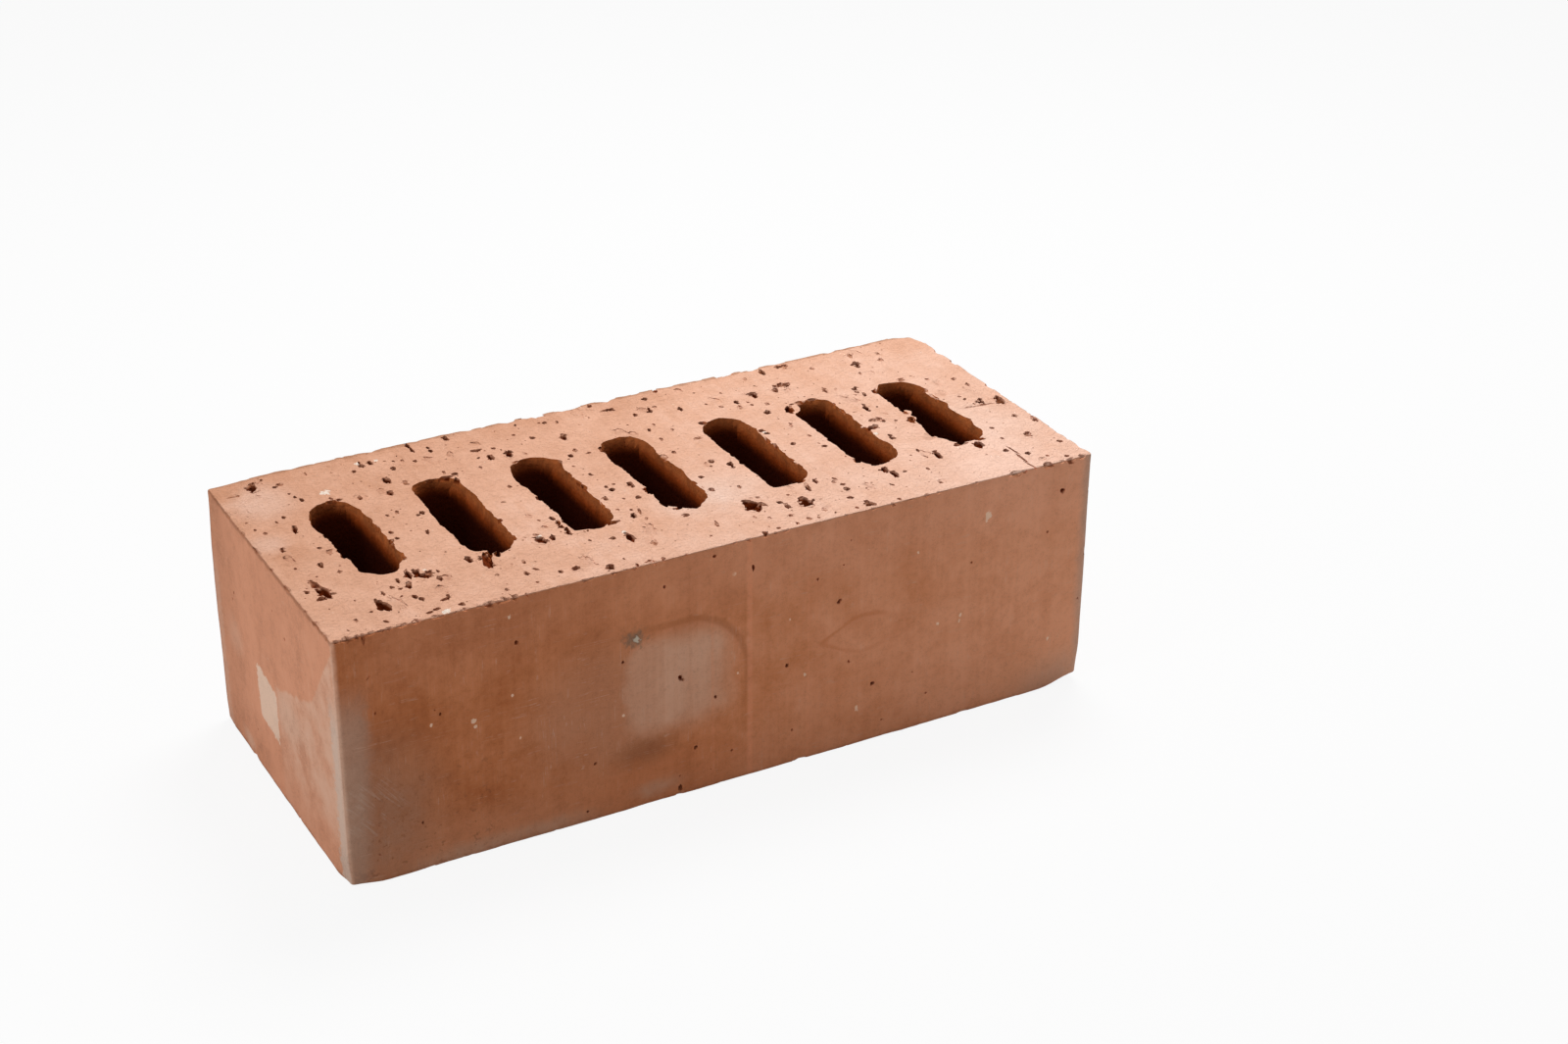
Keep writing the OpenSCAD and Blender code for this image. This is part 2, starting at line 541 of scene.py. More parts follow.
marks = {  # place on the face, width, length, turn in degrees and, where it is set, depth
    "top": [
        # near half, left to right
        (-107.6, -19, 2.2, 5.4, 4, 1), (-106.8, -24.4, 2.6, 6.4, 8, 2), (-108.6, -27.2, 2.6, 1.6, 10, 1),
        (-110.8, -22, 1.4, 1.8, 0, 0.9), (-96.2, -38.2, 2.7, 6.2, 8, 2.6), (-96.8, -34.6, 1, 2, -10, 0.8),
        (-84.3, -25, 1.9, 5.2, -6, 1.2), (-86.3, -30.8, 1.7, 3.6, -14, 1.4), (-82, -25, 1.8, 3.4, 0, 1.4),
        (-81, -28, 4.6, 2.5, -22, 2), (-78.9, -26.8, 1.6, 2.4, 0, 0.8), (-77.8, -31.2, 1.5, 2.8, -12, 0.9),
        (-76.8, -27.4, 1, 1.8, 0, 0.6), (-87.9, -27, 1, 2.6, -10, 0.9), (-90.5, -29.8, 1.2, 1.5, 0, 1),
        (-88.9, -31.6, 1.6, 1.2, 20, 0.6), (-93.8, -31.8, 1, 2.8, 0, 0.7), (-87.3, -37.2, 1.4, 2.2, 10, 1),
        (-86.2, -39.2, 1.6, 2.2, 0, 1), (-80.8, -42.2, 2.8, 1.3, 14, 0.7),
        (-79.6, -40.9, 1.1, 2.2, -8, 0.8), (-78.2, -46.8, 1.7, 1.8, 0, 0.9),
        (-87, -46.9, 2.2, 1.2, 10, 0.8), (-84.8, -46.2, 2.2, 1.3, 0, 0.7), (-105, -42, 1, 2, -10, 0.5),
        (-99.3, -15.3, 1.3, 1.7, 0, 0.5), (-102.4, -9.6, 1.4, 3, -8, 1.1), (-67.2, -24.8, 1.7, 3.6, 4, 1.4),
        (-63, -27.6, 3.2, 8.6, -10, 1.5), (-61, -25, 1.2, 3.2, -8, 2.2), (-59.2, -25.6, 1.6, 2.8, -10, 2.6),
        (-45.8, -24.2, 2.4, 4.2, 6, 1.7), (-42.4, -23.9, 1.5, 3.2, -12, 1.3),
        (-45.8, -20.4, 1.8, 1.6, 0, 0.5), (-57, -39.5, 1.5, 2.2, -6, 1), (-55, -33, 1.1, 2.2, -8, 0.6),
        (-48.6, -42.6, 1.3, 1.8, 0, 0.9), (-44.2, -42.8, 2.2, 2, 10, 0.8), (-65, -45, 0.9, 1.8, 0, 0.7),
        (-64, -36.4, 1.4, 1.4, 0, 0.5), (-36.3, -46.6, 2, 3.2, -14, 1.7), (-56.4, -45, 1, 1.3, 0, 0.5),
        (-38, -13.6, 1.3, 2.6, 8, 1.3), (-37.6, -16.6, 1.2, 2.8, -8, 1.2), (-37.9, -19.2, 1.4, 2.6, 8, 1.4),
        (-37.2, -21.4, 1.3, 2.4, -8, 1.4), (-37.6, -23.6, 1.4, 2.6, 0, 1.4), (-41.6, -13.2, 1, 1.4, 0, 0.5),
        (-17.8, -22.4, 1.6, 3, -14, 1.4), (-15.2, -21, 0.9, 3.2, -14, 0.6), (-20, -17.4, 1.3, 1.5, 0, 0.5),
        (-16.8, -19.2, 1, 1.4, 0, 0.6), (-11.7, -13.2, 1.7, 1.9, -14, 0.9),
        (-20.1, -9.8, 1.3, 2.6, -10, 1.1), (-34.5, -30.3, 1.1, 1.5, 0, 0.7), (-28.6, -32, 1.7, 1.7, 0, 0.9),
        (-24.3, -33.6, 2.1, 5.8, -4, 1.5), (-19.8, -39.2, 1.4, 3.2, -14, 0.6), (-31, -44, 0.9, 1.4, 0, 0.5),
        (-5.2, -29.1, 1.9, 1.9, 20, 0.9), (8.3, -18.6, 1.8, 2.2, -10, 0.9), (9.4, -10.2, 1.6, 1.8, 0, 1.3),
        (16, -20.6, 1.2, 1.8, -10, 0.5), (-0.2, -37.6, 1, 3.8, -14, 0.5), (8.9, -48.5, 1.9, 1.7, 10, 1.1),
        (13.4, -47.6, 1.5, 1.4, 0, 0.6), (-21.8, -48.7, 1.1, 2, -20, 0.9), (-29.5, -48.7, 0.9, 2, -20, 0.7),
        (-25.6, -48.4, 2.4, 1.4, 0, 0.6), (13.5, -31.4, 4.2, 4.6, 10, 2.6), (13.4, -34.2, 4, 3.2, -14, 2),
        (16.2, -33.2, 2, 2.4, 0, 1.2), (21.2, -34.4, 1.9, 1.9, 0, 1.4), (21.9, -37.2, 1.5, 3.2, 0, 1),
        (27.6, -36.2, 2.8, 3.6, 0, 2.2), (27.4, -38.4, 3.6, 3, -10, 1.8), (32.4, -30, 1.5, 4.6, -14, 1),
        (36.3, -27.4, 1.5, 3, -14, 0.9), (17.3, -28.7, 1.4, 1.4, 0, 0.6), (25.3, -31.4, 1.2, 1.4, 0, 0.5),
        (20, -42.6, 1.5, 1.6, 0, 0.5), (23.4, -46.6, 1.5, 1.8, 0, 0.5), (30, -43.6, 1.4, 2.4, -14, 0.5),
        (14.2, -41.4, 1.2, 1.5, 0, 0.4), (19.4, -47.6, 1, 1.6, -10, 0.6), (26.2, -47.2, 1, 1.4, 0, 0.6),
        (38.2, -47.2, 1.2, 1.4, 0, 0.6), (57.1, -30.4, 1.9, 3.6, -14, 1.4), (58, -34.3, 1.8, 4.4, -12, 1.6),
        (61.4, -34.2, 1.5, 1.5, 0, 0.6), (40.6, -30.6, 1.4, 2, -10, 0.5), (42, -33, 1.5, 1.6, 0, 0.8),
        (41.4, -36, 2, 2, 0, 1), (39.8, -41, 1.9, 1.7, 0, 1), (42.3, -46.6, 2.5, 3, 8, 1.6),
        (69.8, -13.6, 1.8, 1.8, 0, 1.4), (70, -11.7, 1.4, 1.8, 0, 1.1), (71.8, -24.2, 1.1, 2, -12, 0.8),
        (71.6, -28, 1, 3.6, 4, 0.5), (75.3, -29.4, 1.8, 5.2, -8, 1.6), (68, -35.8, 1.1, 1.6, -10, 0.5),
        (66.8, -44.6, 1.3, 1.7, -10, 0.7), (51.2, -48.2, 1.2, 1.6, 0, 0.6),
        (89.3, -29.2, 2.6, 4.4, -8, 1.8), (94, -36.2, 1.8, 2.2, -8, 1), (95.9, -37, 0.7, 6, 4, 0.6),
        (95.4, -42.4, 0.8, 6, 0, 0.6), (95, -47.2, 0.7, 5, 6, 0.6), (98.6, -40.6, 1.8, 2, -10, 1.4),
        (98.8, -21.5, 1.3, 1.7, 0, 0.6), (97.6, -28.8, 1.2, 1.5, 0, 0.5), (109.5, -17.3, 2, 1.9, 0, 0.9),
        (113.2, -22, 1.7, 3.6, -10, 1.3), (105.5, -30, 2, 3.6, -12, 0.6), (111.4, -38.2, 1.7, 1.7, 0, 0.9),
        (107.4, -47.4, 1.7, 1.4, 0, 1), (102.6, -44.6, 1.2, 1.4, 0, 0.5),
        # far half, left to right
        (-103.4, 43, 2.5, 5.2, -10, 2.2), (-97.7, 40, 1.6, 1.6, 0, 1.3), (-96, 41, 2, 1.9, 0, 0.6),
        (-109.5, 40.8, 2.8, 2, 0, 0.7), (-94.9, 31.4, 1, 1.6, -8, 0.9), (-93.8, 29, 1.3, 2.2, -8, 1),
        (-111, 17.6, 1, 1.3, 0, 0.7), (-109.3, 14.5, 1.2, 1.6, 0, 0.5), (-101.7, 21.2, 1.1, 1.6, 0, 0.9),
        (-101.5, 13, 1.4, 4.8, -12, 1.4), (-108.4, 3.3, 1.2, 2.8, -12, 0.9),
        (-99.5, -0.4, 1.2, 1.7, 0, 0.5), (-97.8, -3.5, 1.4, 2.6, -8, 0.5), (-109, -8.6, 1, 1.2, 0, 0.4),
        (-104.4, 19.2, 0.8, 1.6, 0, 0.4), (-74.8, 39, 1.2, 1.8, -8, 1), (-71.6, 41.2, 1.8, 2.2, 0, 1.4),
        (-71.6, 43.6, 0.8, 1.8, -8, 0.8), (-69, 42, 1.6, 3, -6, 1.1), (-64.5, 35.4, 1.6, 2.2, -8, 1.1),
        (-57.2, 37, 1.2, 1.8, 0, 0.9), (-60.4, 39, 1, 1.8, -8, 0.4), (-51, 41.2, 1.4, 2.2, 0, 1.3),
        (-50.8, 43.4, 1.1, 1.8, 0, 1.1), (-55.4, 44.2, 1.1, 3.4, 0, 1.3), (-55.4, 47.4, 1.3, 3.6, 0, 1.6),
        (-44, 47, 1.8, 2.6, -8, 1.4), (-39.7, 35.2, 2.8, 1.9, -14, 1.1), (-37.6, 29.4, 1.8, 3.8, 0, 1.1),
        (-68.8, 29.7, 1.8, 3.8, 0, 1.4), (-64.8, 25.8, 1.5, 3, -8, 0.6), (-50.5, 24.2, 1.8, 1.9, 0, 1),
        (-52.8, 26.6, 1, 2, -8, 0.5), (-79.2, 23, 1.6, 2.2, -8, 1), (-70.9, 21.6, 1.6, 3, -4, 1.1),
        (-73.6, 9.5, 1.2, 2.2, -8, 0.5), (-76.6, 9, 1, 1.6, 0, 0.5), (-67.6, 6.2, 1.5, 2, -8, 1.4),
        (-69.2, 5.3, 1.2, 1.3, 0, 1), (-82.3, 8.4, 1.9, 4.2, 0, 1.8), (-79.6, -1, 1.3, 1.8, 0, 1),
        (-79.3, -4.8, 1.2, 1.5, 0, 1.1), (-81.4, -5.4, 2.2, 1.8, 10, 1), (-70.8, -5.4, 1.1, 2.8, -14, 0.8),
        (-50.8, -8, 1.6, 1.8, 0, 1.2), (-52, -10.2, 1.4, 2.4, -10, 1.3), (-40.3, 9.6, 1.2, 2, 0, 0.5),
        (-95.6, 34, 1, 1.4, 0, 0.4), (-87.4, 44, 0.8, 2, -10, 0.4), (-42.6, 24.6, 1.1, 1.8, -8, 0.4),
        (-45.6, 1.6, 1.4, 1.3, 0, 0.4), (-34.4, 34.4, 1.5, 1.5, 0, 0.6), (-32, 29.4, 2.3, 2.2, 0, 2),
        (-32.2, 27.6, 2, 2, 0, 1.8), (-21.8, 35.3, 1.6, 1.9, -8, 1), (-25.8, 39.6, 1.3, 1.5, 0, 0.5),
        (-14.4, 43.3, 1.5, 1.7, 0, 0.8), (-15.9, 43.9, 1, 1.2, 0, 0.5), (-11, 42, 0.9, 2.2, -14, 0.5),
        (-13.6, 32, 2, 4, -12, 1.1), (-17.1, 19.4, 1.6, 2, -8, 1.4), (-14.5, 22, 1.3, 2.2, -8, 0.6),
        (-11.6, 18.6, 1.3, 1.4, 0, 0.6), (-17.3, 6, 1.1, 2, -12, 1), (-16.1, -5.5, 1.9, 1.9, -20, 1.4),
        (-16.8, -3.2, 1, 1.5, 0, 0.9), (-14.2, -2.7, 1.1, 1.3, 0, 0.5), (-10.3, -5, 1.7, 2.4, 0, 0.9),
        (-10.1, -6.6, 1.2, 1.3, 0, 1.4), (6.3, 42.2, 2.3, 2, -10, 1.6), (4.4, 42.6, 2.2, 1.5, 10, 0.5),
        (18.5, 44.2, 1.8, 2, -10, 1.1), (16, 35.6, 1.9, 2.2, -8, 1.6), (16.6, 37.4, 1, 1.8, -10, 1),
        (11.2, 35.6, 1.5, 1.9, 0, 1), (24.8, 33, 1.3, 2.6, -12, 1.1), (10.2, 24.2, 1.1, 2.2, -12, 0.9),
        (13, 27, 0.9, 1.5, 0, 0.5), (16.3, 21.4, 1, 1.6, 0, 0.5), (10.6, 17.2, 0.9, 2.2, -12, 0.5),
        (9.8, 7.6, 1.3, 2.2, -12, 0.5), (16.7, -2.6, 1.8, 2.2, -10, 1), (15, -5.4, 1.2, 1.4, 0, 0.5),
        (20.5, -6.8, 1.7, 3.2, -8, 1.6), (20.2, -9, 1.2, 1.4, 0, 1), (20.4, 13, 2.6, 1.5, 0, 0.6),
        (39, 8.6, 1.9, 1.9, 0, 1.1), (39.5, 6.4, 1.7, 1.5, 0, 1.2), (36.2, 28.8, 1.3, 1.7, 0, 0.5),
        (35.8, 16.6, 1.6, 2.4, -14, 1.8), (23.8, 48.2, 1.5, 2.8, -20, 1.4), (2, 47.4, 1.6, 2.2, -20, 0.8),
        (33, 32.4, 1, 1.5, 0, 0.4), (41.7, 29.6, 1.5, 2.6, -12, 1.2), (48.7, 32.4, 2.4, 2.6, 0, 1.8),
        (48.6, 30.6, 1.5, 2.2, -10, 1), (56.1, 31.8, 1.5, 3.2, -22, 1.1), (59.6, 34, 5, 2.4, 10, 0.6),
        (58, 33.6, 1.6, 1.4, 0, 0.9), (41, 26, 1.3, 2.4, -12, 0.5), (44.9, 25.8, 1.1, 1.5, 0, 0.6),
        (49.2, 24.2, 1.4, 1.8, 0, 0.6), (46.6, 19.2, 1.8, 2.4, -8, 1.3), (58.8, 45, 1.8, 3.6, -14, 1.3),
        (65.2, 46.8, 1.5, 1.7, 0, 1.2), (66.4, 46, 3.6, 2.4, 0, 0.6), (73.9, 40.6, 1.6, 2, 0, 0.5),
        (87.4, 37.4, 2.2, 2.4, 0, 1.8), (86.8, 35.4, 1.5, 2, -10, 1.2), (69.3, 25, 1.6, 3.6, -8, 0.9),
        (77.4, 21.4, 1.8, 2, 0, 1.5), (77, 19.2, 1.1, 1.6, 0, 0.9), (78.2, 16.6, 1.1, 2.6, -12, 0.9),
        (73.7, 8.2, 1.8, 2.2, 0, 1.5), (73.5, 6.2, 1.3, 1.6, 0, 1), (74.2, 10.2, 1, 1.6, 0, 0.8),
        (48.2, 8, 1, 3, -14, 0.5), (84.8, 30.4, 0.9, 2.4, -14, 0.5), (95.6, 36.4, 1.4, 2.6, -10, 0.5),
        (97.2, 41, 1.3, 1.6, 0, 0.6), (107.8, 13.6, 1.6, 1.6, 0, 0.7), (109.2, 8, 1.2, 2.4, -10, 0.6),
        (102.3, 1.8, 1.3, 1.5, 0, 0.5), (105.8, -4.4, 2.4, 2.2, 0, 1.7), (106.9, -2.6, 1.1, 1.8, -10, 1),
        (103.4, -6.2, 11, 1.1, -7, 0.4), (111.8, -4.6, 2.2, 3, -10, 1.6), (111.2, -7.2, 2.6, 3, -10, 1.8),
        (68.4, -4.9, 3.2, 2.4, 10, 1.6), (69.8, -4, 1.4, 1.8, 0, 1), (72.3, -1, 3.6, 2.6, -10, 0.5),
        (76.8, -3.8, 1.4, 1.4, 0, 0.6), (42.6, -3.4, 1.5, 2.2, -6, 0.9), (49.8, -9, 1.7, 1.5, 0, 1),
        (49.4, -1, 1.4, 1.6, 0, 0.4), (53, 17.4, 2.4, 5.6, -18, 2.6), (80.9, -5.8, 2.2, 3.6, -8, 2.2),
        (94.6, 12, 2.8, 2.2, 0, 1.6), (100.4, 17, 1.4, 1.8, 0, 0.4), (88.8, 43.6, 1.2, 3.6, -20, 0.6),
        (52, 43.6, 1.4, 2.2, -14, 0.5),
    ],
    "bottom": [
        (-97, 30.5, 2.6, 5, 10), (-74, -33, 2.2, 6.6, -8), (-44.5, 36, 4, 3, 20), (-16, -30.5, 3.4, 4.6, 0),
        (12.5, 33, 2, 5.2, 6), (43, -36, 3, 3.6, 30), (72.5, 31, 2.6, 4, -12), (103, 8, 3, 3.4, 0),
        (104.5, -27, 2, 7.4, 4), (-106.5, -8, 2.2, 3.2, 0), (-58, -40, 1.6, 4, 0), (28, 41, 3, 1.8, 0),
        (86, -33, 2.6, 2.8, 0), (-30, -24, 1.6, 3.6, 10), (59.5, 38.5, 1.6, 2.4, 0),
    ],
    "front": [
        (-17.7, 37.6, 1.7, 2.4, 0), (-16.9, 36.8, 1.2, 1.2, 0), (-34.7, 47.1, 1.2, 1.4, 0),
        (-7.1, 28.6, 1.3, 1.5, 0), (-22.1, 66.7, 1.2, 1.5, 0), (-7.1, 72.1, 1.6, 1.3, 0),
        (4.7, 65.7, 1.3, 2.6, 0), (24.7, 57.1, 1.1, 1.3, 0), (31.7, 48.3, 1.5, 2, 30),
        (15.3, 32.4, 1.5, 1.7, 20), (35, 28.3, 1.2, 1.6, 0), (42.9, 18.9, 2, 1.6, 0),
        (-65, 61.4, 1.4, 1.7, 0), (-43.6, 18.1, 1.3, 1.4, 0), (-13.3, 14.3, 1.4, 1.6, 0),
        (-2.1, 10, 1.2, 1.2, 0), (-18.1, 2.6, 1.8, 2.4, 0), (17.1, 11, 1.1, 1.3, 0),
        (75, 49.6, 1.1, 1.2, 0), (105, 65.2, 2, 2.4, 0), (-87, 46.2, 1, 1.2, 0), (100.6, 53, 1, 1.1, 0),
        (61, 10.6, 1.2, 1, 0), (-46.4, 3.6, 1.3, 1.1, 0), (-105.6, 62.2, 2.2, 0.6, -50, 0.4),
        (-93.6, 15, 1, 1, 0), (-106, 9, 1.4, 0.8, 30, 0.5),
    ],
    "left": [
        (31, 50, 1.2, 1.6, 20), (-12, 57, 1, 1.2, 0), (20, 12, 1.2, 1, 0),
    ],
    "back": [
        (-84, 51, 1.6, 2, 0), (-41, 22, 1.4, 1.6, 0), (-6, 58, 1.2, 1.6, 0), (37, 34, 1.8, 2.2, 20),
        (71, 14, 1.3, 1.4, 0), (92, 60, 1.5, 1.7, 0),
    ],
    "right": [
        (-24, 44, 1.5, 1.9, 0), (12, 23, 1.3, 1.5, 0), (33, 60, 1.2, 1.4, 0),
    ],
}

topCrumbs = [  # place on the top, width, length, turn
    (-83, -48, 3.2, 1.8, 0), (-86.6, 30, 2, 3, -8), (-44, -24, 1.6, 2.2, 0), (-88.6, -30, 1.8, 1.8, 0),
    (-79.8, -25.2, 2.2, 2, 20), (-67.6, -22.8, 1.4, 1.6, 0), (-63.6, -22.6, 3, 1.4, -20),
    (-24.2, -30, 1.3, 1.4, 0), (22.2, -4.4, 1.3, 3.2, -10), (67.4, -8.6, 2.2, 2.2, 0),
    (79.2, -8.4, 1.3, 3, -20), (39, 7.5, 1.3, 1.3, 0), (51.4, -5.6, 1.4, 2.2, 0), (97.4, 0.4, 1.6, 1.6, 0),
    (-109.5, 16.8, 1, 1.5, 0), (7, -15.4, 1.4, 3, 0), (-82.6, -29.8, 3.4, 1.2, -20),
    (-85.4, -28.2, 1.2, 2.4, -8), (-65.2, -29, 1.2, 3.6, -8), (-48, -24.6, 1.2, 2.4, 0),
    (16.6, -30.6, 1.4, 2.2, 0), (-104.9, -24, 1, 3.4, 8), (-109.4, -20, 1.1, 3, 0),
    (-94.2, -37.4, 1.2, 3.2, 8), (-12, 33.2, 1.1, 2.6, -12), (-15.2, 32.6, 1, 2.6, -12),
    (66.6, -3, 1.8, 1.4, 0), (109.2, -3.4, 1.6, 1.6, 0), (104.4, -2.6, 1.6, 1.2, 0),
    (92, -31, 1.4, 2.6, -10), (-106.6, -46.6, 2.4, 1.4, 0), (-101.4, -48, 2.2, 1.2, 0),
    (-93.4, -48.2, 2.6, 1.2, 0), (-97.2, -48.4, 1.6, 1.2, 0), (-75.6, -48.4, 2, 1, 0),
    (-69.4, -47.8, 1.8, 1.2, 0),
]

edges = {  # sides that meet at each edge, along x, y and z, with 0 for the way the edge runs
    "topFront": (0, -1, 1),
    "topBack": (0, 1, 1),
    "topLeft": (-1, 0, 1),
    "topRight": (1, 0, 1),
    "footFront": (0, -1, -1),
    "footBack": (0, 1, -1),
    "footLeft": (-1, 0, -1),
    "footRight": (1, 0, -1),
    "frontRight": (1, -1, 0),
    "backLeft": (-1, 1, 0),
}

edgeChips = {  # place along the edge, length, bite into the brick, drop
    "topFront": [
        (-113, 2.4, 0.9, 0.9), (-110.4, 3.4, 1.4, 1.3), (-107.8, 1.8, 1, 1.1), (-106.1, 1.7, 0.9, 2.8),
        (-104, 2.4, 0.8, 0.7), (-99, 2.4, 1, 0.7), (-95.6, 3.6, 0.9, 0.6), (-91.8, 2.6, 1.2, 0.7),
        (-86.6, 2.8, 1, 0.6), (-78.6, 2.4, 1, 0.5), (-74.8, 1.8, 0.7, 0.6), (-71.8, 3.2, 1.3, 1.5),
        (-67.5, 2.6, 1.5, 1), (-64.6, 2.4, 1.5, 1.1), (-61.4, 1.4, 0.9, 0.8), (-52.4, 1.8, 0.6, 0.5),
        (-43, 2.6, 0.5, 0.5), (-33.4, 2.2, 0.6, 0.5), (-24.5, 1.7, 0.9, 1), (-15.4, 1.8, 0.6, 0.5),
        (-1, 2.2, 0.5, 0.6), (17, 2.4, 0.5, 0.5), (33.8, 2, 0.6, 0.5), (48.2, 1.7, 0.8, 1.3),
        (63.2, 2, 0.6, 0.8), (75.6, 2.2, 0.6, 0.5), (88.6, 5.6, 1.3, 1.5), (91.6, 2.4, 0.8, 1),
        (99.8, 3.6, 1.5, 1.4), (104.4, 2.2, 0.9, 0.8), (107.4, 3.4, 1.1, 2), (111.3, 2.6, 1.5, 1),
    ],
    "topLeft": [
        (-46, 3, 1, 1), (-39, 5, 0.9, 0.9), (-31.6, 2.4, 0.7, 0.7), (-18, 4.2, 0.9, 0.8),
        (-6, 2.4, 0.7, 0.6), (6, 6, 0.9, 0.8), (17.4, 2.8, 0.8, 0.8), (30, 4.8, 1, 0.9), (41, 3, 1.2, 0.9),
    ],
    "topBack": [
        (-104, 5, 1, 0.8), (-90, 6, 0.9, 0.8), (-78, 3.6, 0.7, 0.7), (-66, 7, 1.2, 1), (-52, 4, 0.8, 0.7),
        (-36, 4.4, 0.9, 0.8), (-24, 7, 1.6, 1.2), (-15.4, 9, 2, 1.4), (-4, 8, 1.8, 1.3), (8, 7, 1.8, 1.2),
        (18, 4, 0.8, 0.7), (28, 7, 1.1, 0.9), (39, 4, 1, 0.8), (48, 8, 1.8, 1.2), (57, 8, 1.8, 1.3),
        (66.4, 6, 1.5, 1.1), (84, 6, 1.1, 0.9), (97, 5, 0.8, 0.7), (107, 4, 0.9, 0.7),
    ],
    "topRight": [
        (-44, 5, 1, 1), (-32, 6, 0.9, 0.8), (-17, 3.4, 0.8, 0.7), (4, 5, 1, 0.9), (24, 4.4, 1.2, 1.4),
        (33, 7, 1.3, 1.1), (43, 4, 0.9, 0.9),
    ],
    "footFront": [(-92, 3, 0.6, 0.6), (-18.4, 2.4, 0.9, 1), (20, 4.6, 0.9, 0.9), (74, 4, 0.7, 0.8)],
    "footBack": [(-40, 8, 1.4, 1.6), (52, 6, 1.2, 1.4), (96, 4, 0.9, 1)],
    "footLeft": [(24, 6, 1, 1.2), (-12, 3, 0.7, 0.7)],
    "footRight": [(20, 7, 1.3, 1.6), (-30, 4, 1, 1)],
    "frontRight": [(44, 6, 1, 1), (63, 4, 0.8, 0.8)],
    "backLeft": [(20, 7, 1, 1), (52, 3, 0.7, 0.7)],
}

cornerChips = [  # place in the brick, size each way
    ((-113.6, -51.0, 1.2), (5.0, 3.6, 5.0)),
]

clayMarks = {
    "seed": 11,
    "roughness": 0.3,  # how dented a pit's walls are
    "spread": 1.12,  # makes up for what the dents take from a pit's outline
    "sink": 0.12,  # how far a pit's middle lies under the face, as a share of its depth
    "depthShares": (0.9, 0.15),  # of a pit's shorter and longer side, where no depth is set
    "deepest": 3.2,
    "onDieFaces": (0.78, 0.6),  # width and depth there, as a share of a bed's
    "clusters": [  # places on a bed where small pits gather
        (-80, -32), (-100, -36), (-62, -31), (22, -35), (35, -32), (70, 0), (76, 30), (-20, 38), (55, 38),
        (100, -3), (-70, 40), (42, 18), (-108, 42), (88, 33),
    ],
    "gather": 7.5,  # spread of a cluster
    "gathered": 0.45,  # share of a bed's small pits that lie in clusters
    "scattered": {"top": (240, 0.4, 1.0), "bottom": (230, 0.5, 2.2), "front": (12, 0.5, 0.9),
                  "back": (30, 0.5, 1.2), "left": (6, 0.5, 0.9), "right": (14, 0.5, 1.1)},
    "rimNicks": 13,  # at each slot, on each bed
    "nickSides": (0.3, 20),  # how far inside a slot's side they lie, and how far along it
    "nickEnds": (5, 23.5),  # how far across a slot's end they lie, and how far from its middle
    "edgeNicks": 60,  # along each bed's four edges
    "footNicks": (0.7, 1.3),  # smallest and largest
    "topNicks": (0.7, 1.8),
    "nickInset": (0.2, 0.4),  # how far inside the side and the bed their middles lie
    "crumbs": 150,
    "crumbSizes": (0.7, 1.7),
    "crumbHeight": 0.6,
    "crumbMargin": 3,  # how far from a bed's edges they stay
    "lip": (1.5, 0.4),  # how far a torn lip reaches round a pit, and its thickness
    "lipFrom": 1.9,  # smallest pit that has one
    "lipClear": 2.5,  # how far from a slot it stays
    "tears": 60,  # shallow scoops on each bed
    "tearWidths": (1.6, 4.5),
    "tearHeights": (0.5, 0.8),
    "tearMargin": 4,
    "raggedFrom": 2.3,  # longest side of the smallest pit that gets bites in its rim
    "rimBites": 3,
    "biteOut": 0.48,  # how far from the pit's middle they lie, as a share of its size
    "finerFrom": (1.7, 8),  # sizes from which a rock's ball has more faces
    "room": 0.62,  # how much room a rock takes up in its group, as a share of its size
}


def onFace(face, u, v, depth):
    axis, side = faces[face]
    plane = (high if side > 0 else low)[axis] / mm - side * (brick["skin"] + depth)
    place = [u, v]
    place.insert(axis, plane)
    return Vector(place)


def pit(face, u, v, width, length, turn=0, depth=None):
    axis = faces[face][0]
    shorter, longer = clayMarks["depthShares"]
    deep = depth or shorter * min(width, length) + longer * max(width, length)
    wide, deeper = (1, 1) if axis == 2 else clayMarks["onDieFaces"]
    deep = min(deep, clayMarks["deepest"]) * deeper
    wide *= clayMarks["spread"]
    size = [width * wide, length * wide]
    size.insert(axis, 2 * deep)
    place = onFace(face, u, v, clayMarks["sink"] * deep)
    return place, size, turned(turn, "XYZ"[axis])


def edgeChip(edge, along, length, bite, drop):
    sides = edges[edge]
    run = sides.index(0)
    place = (low + high) / 2 / mm
    for axis, side in enumerate(sides):
        place[axis] += side * (half[axis] - brick["skin"])
    place[run] = along
    size = [2 * bite, 2 * bite, 2 * drop]
    size[run] = length
    return place, size, Matrix.Identity(3)


def inSlot(u, v, margin):
    for x, y in slotCentres():
        if abs(u - x) < slots["width"] / 2 + margin and abs(v - y) < slots["clear"] + margin:
            return True
    return False


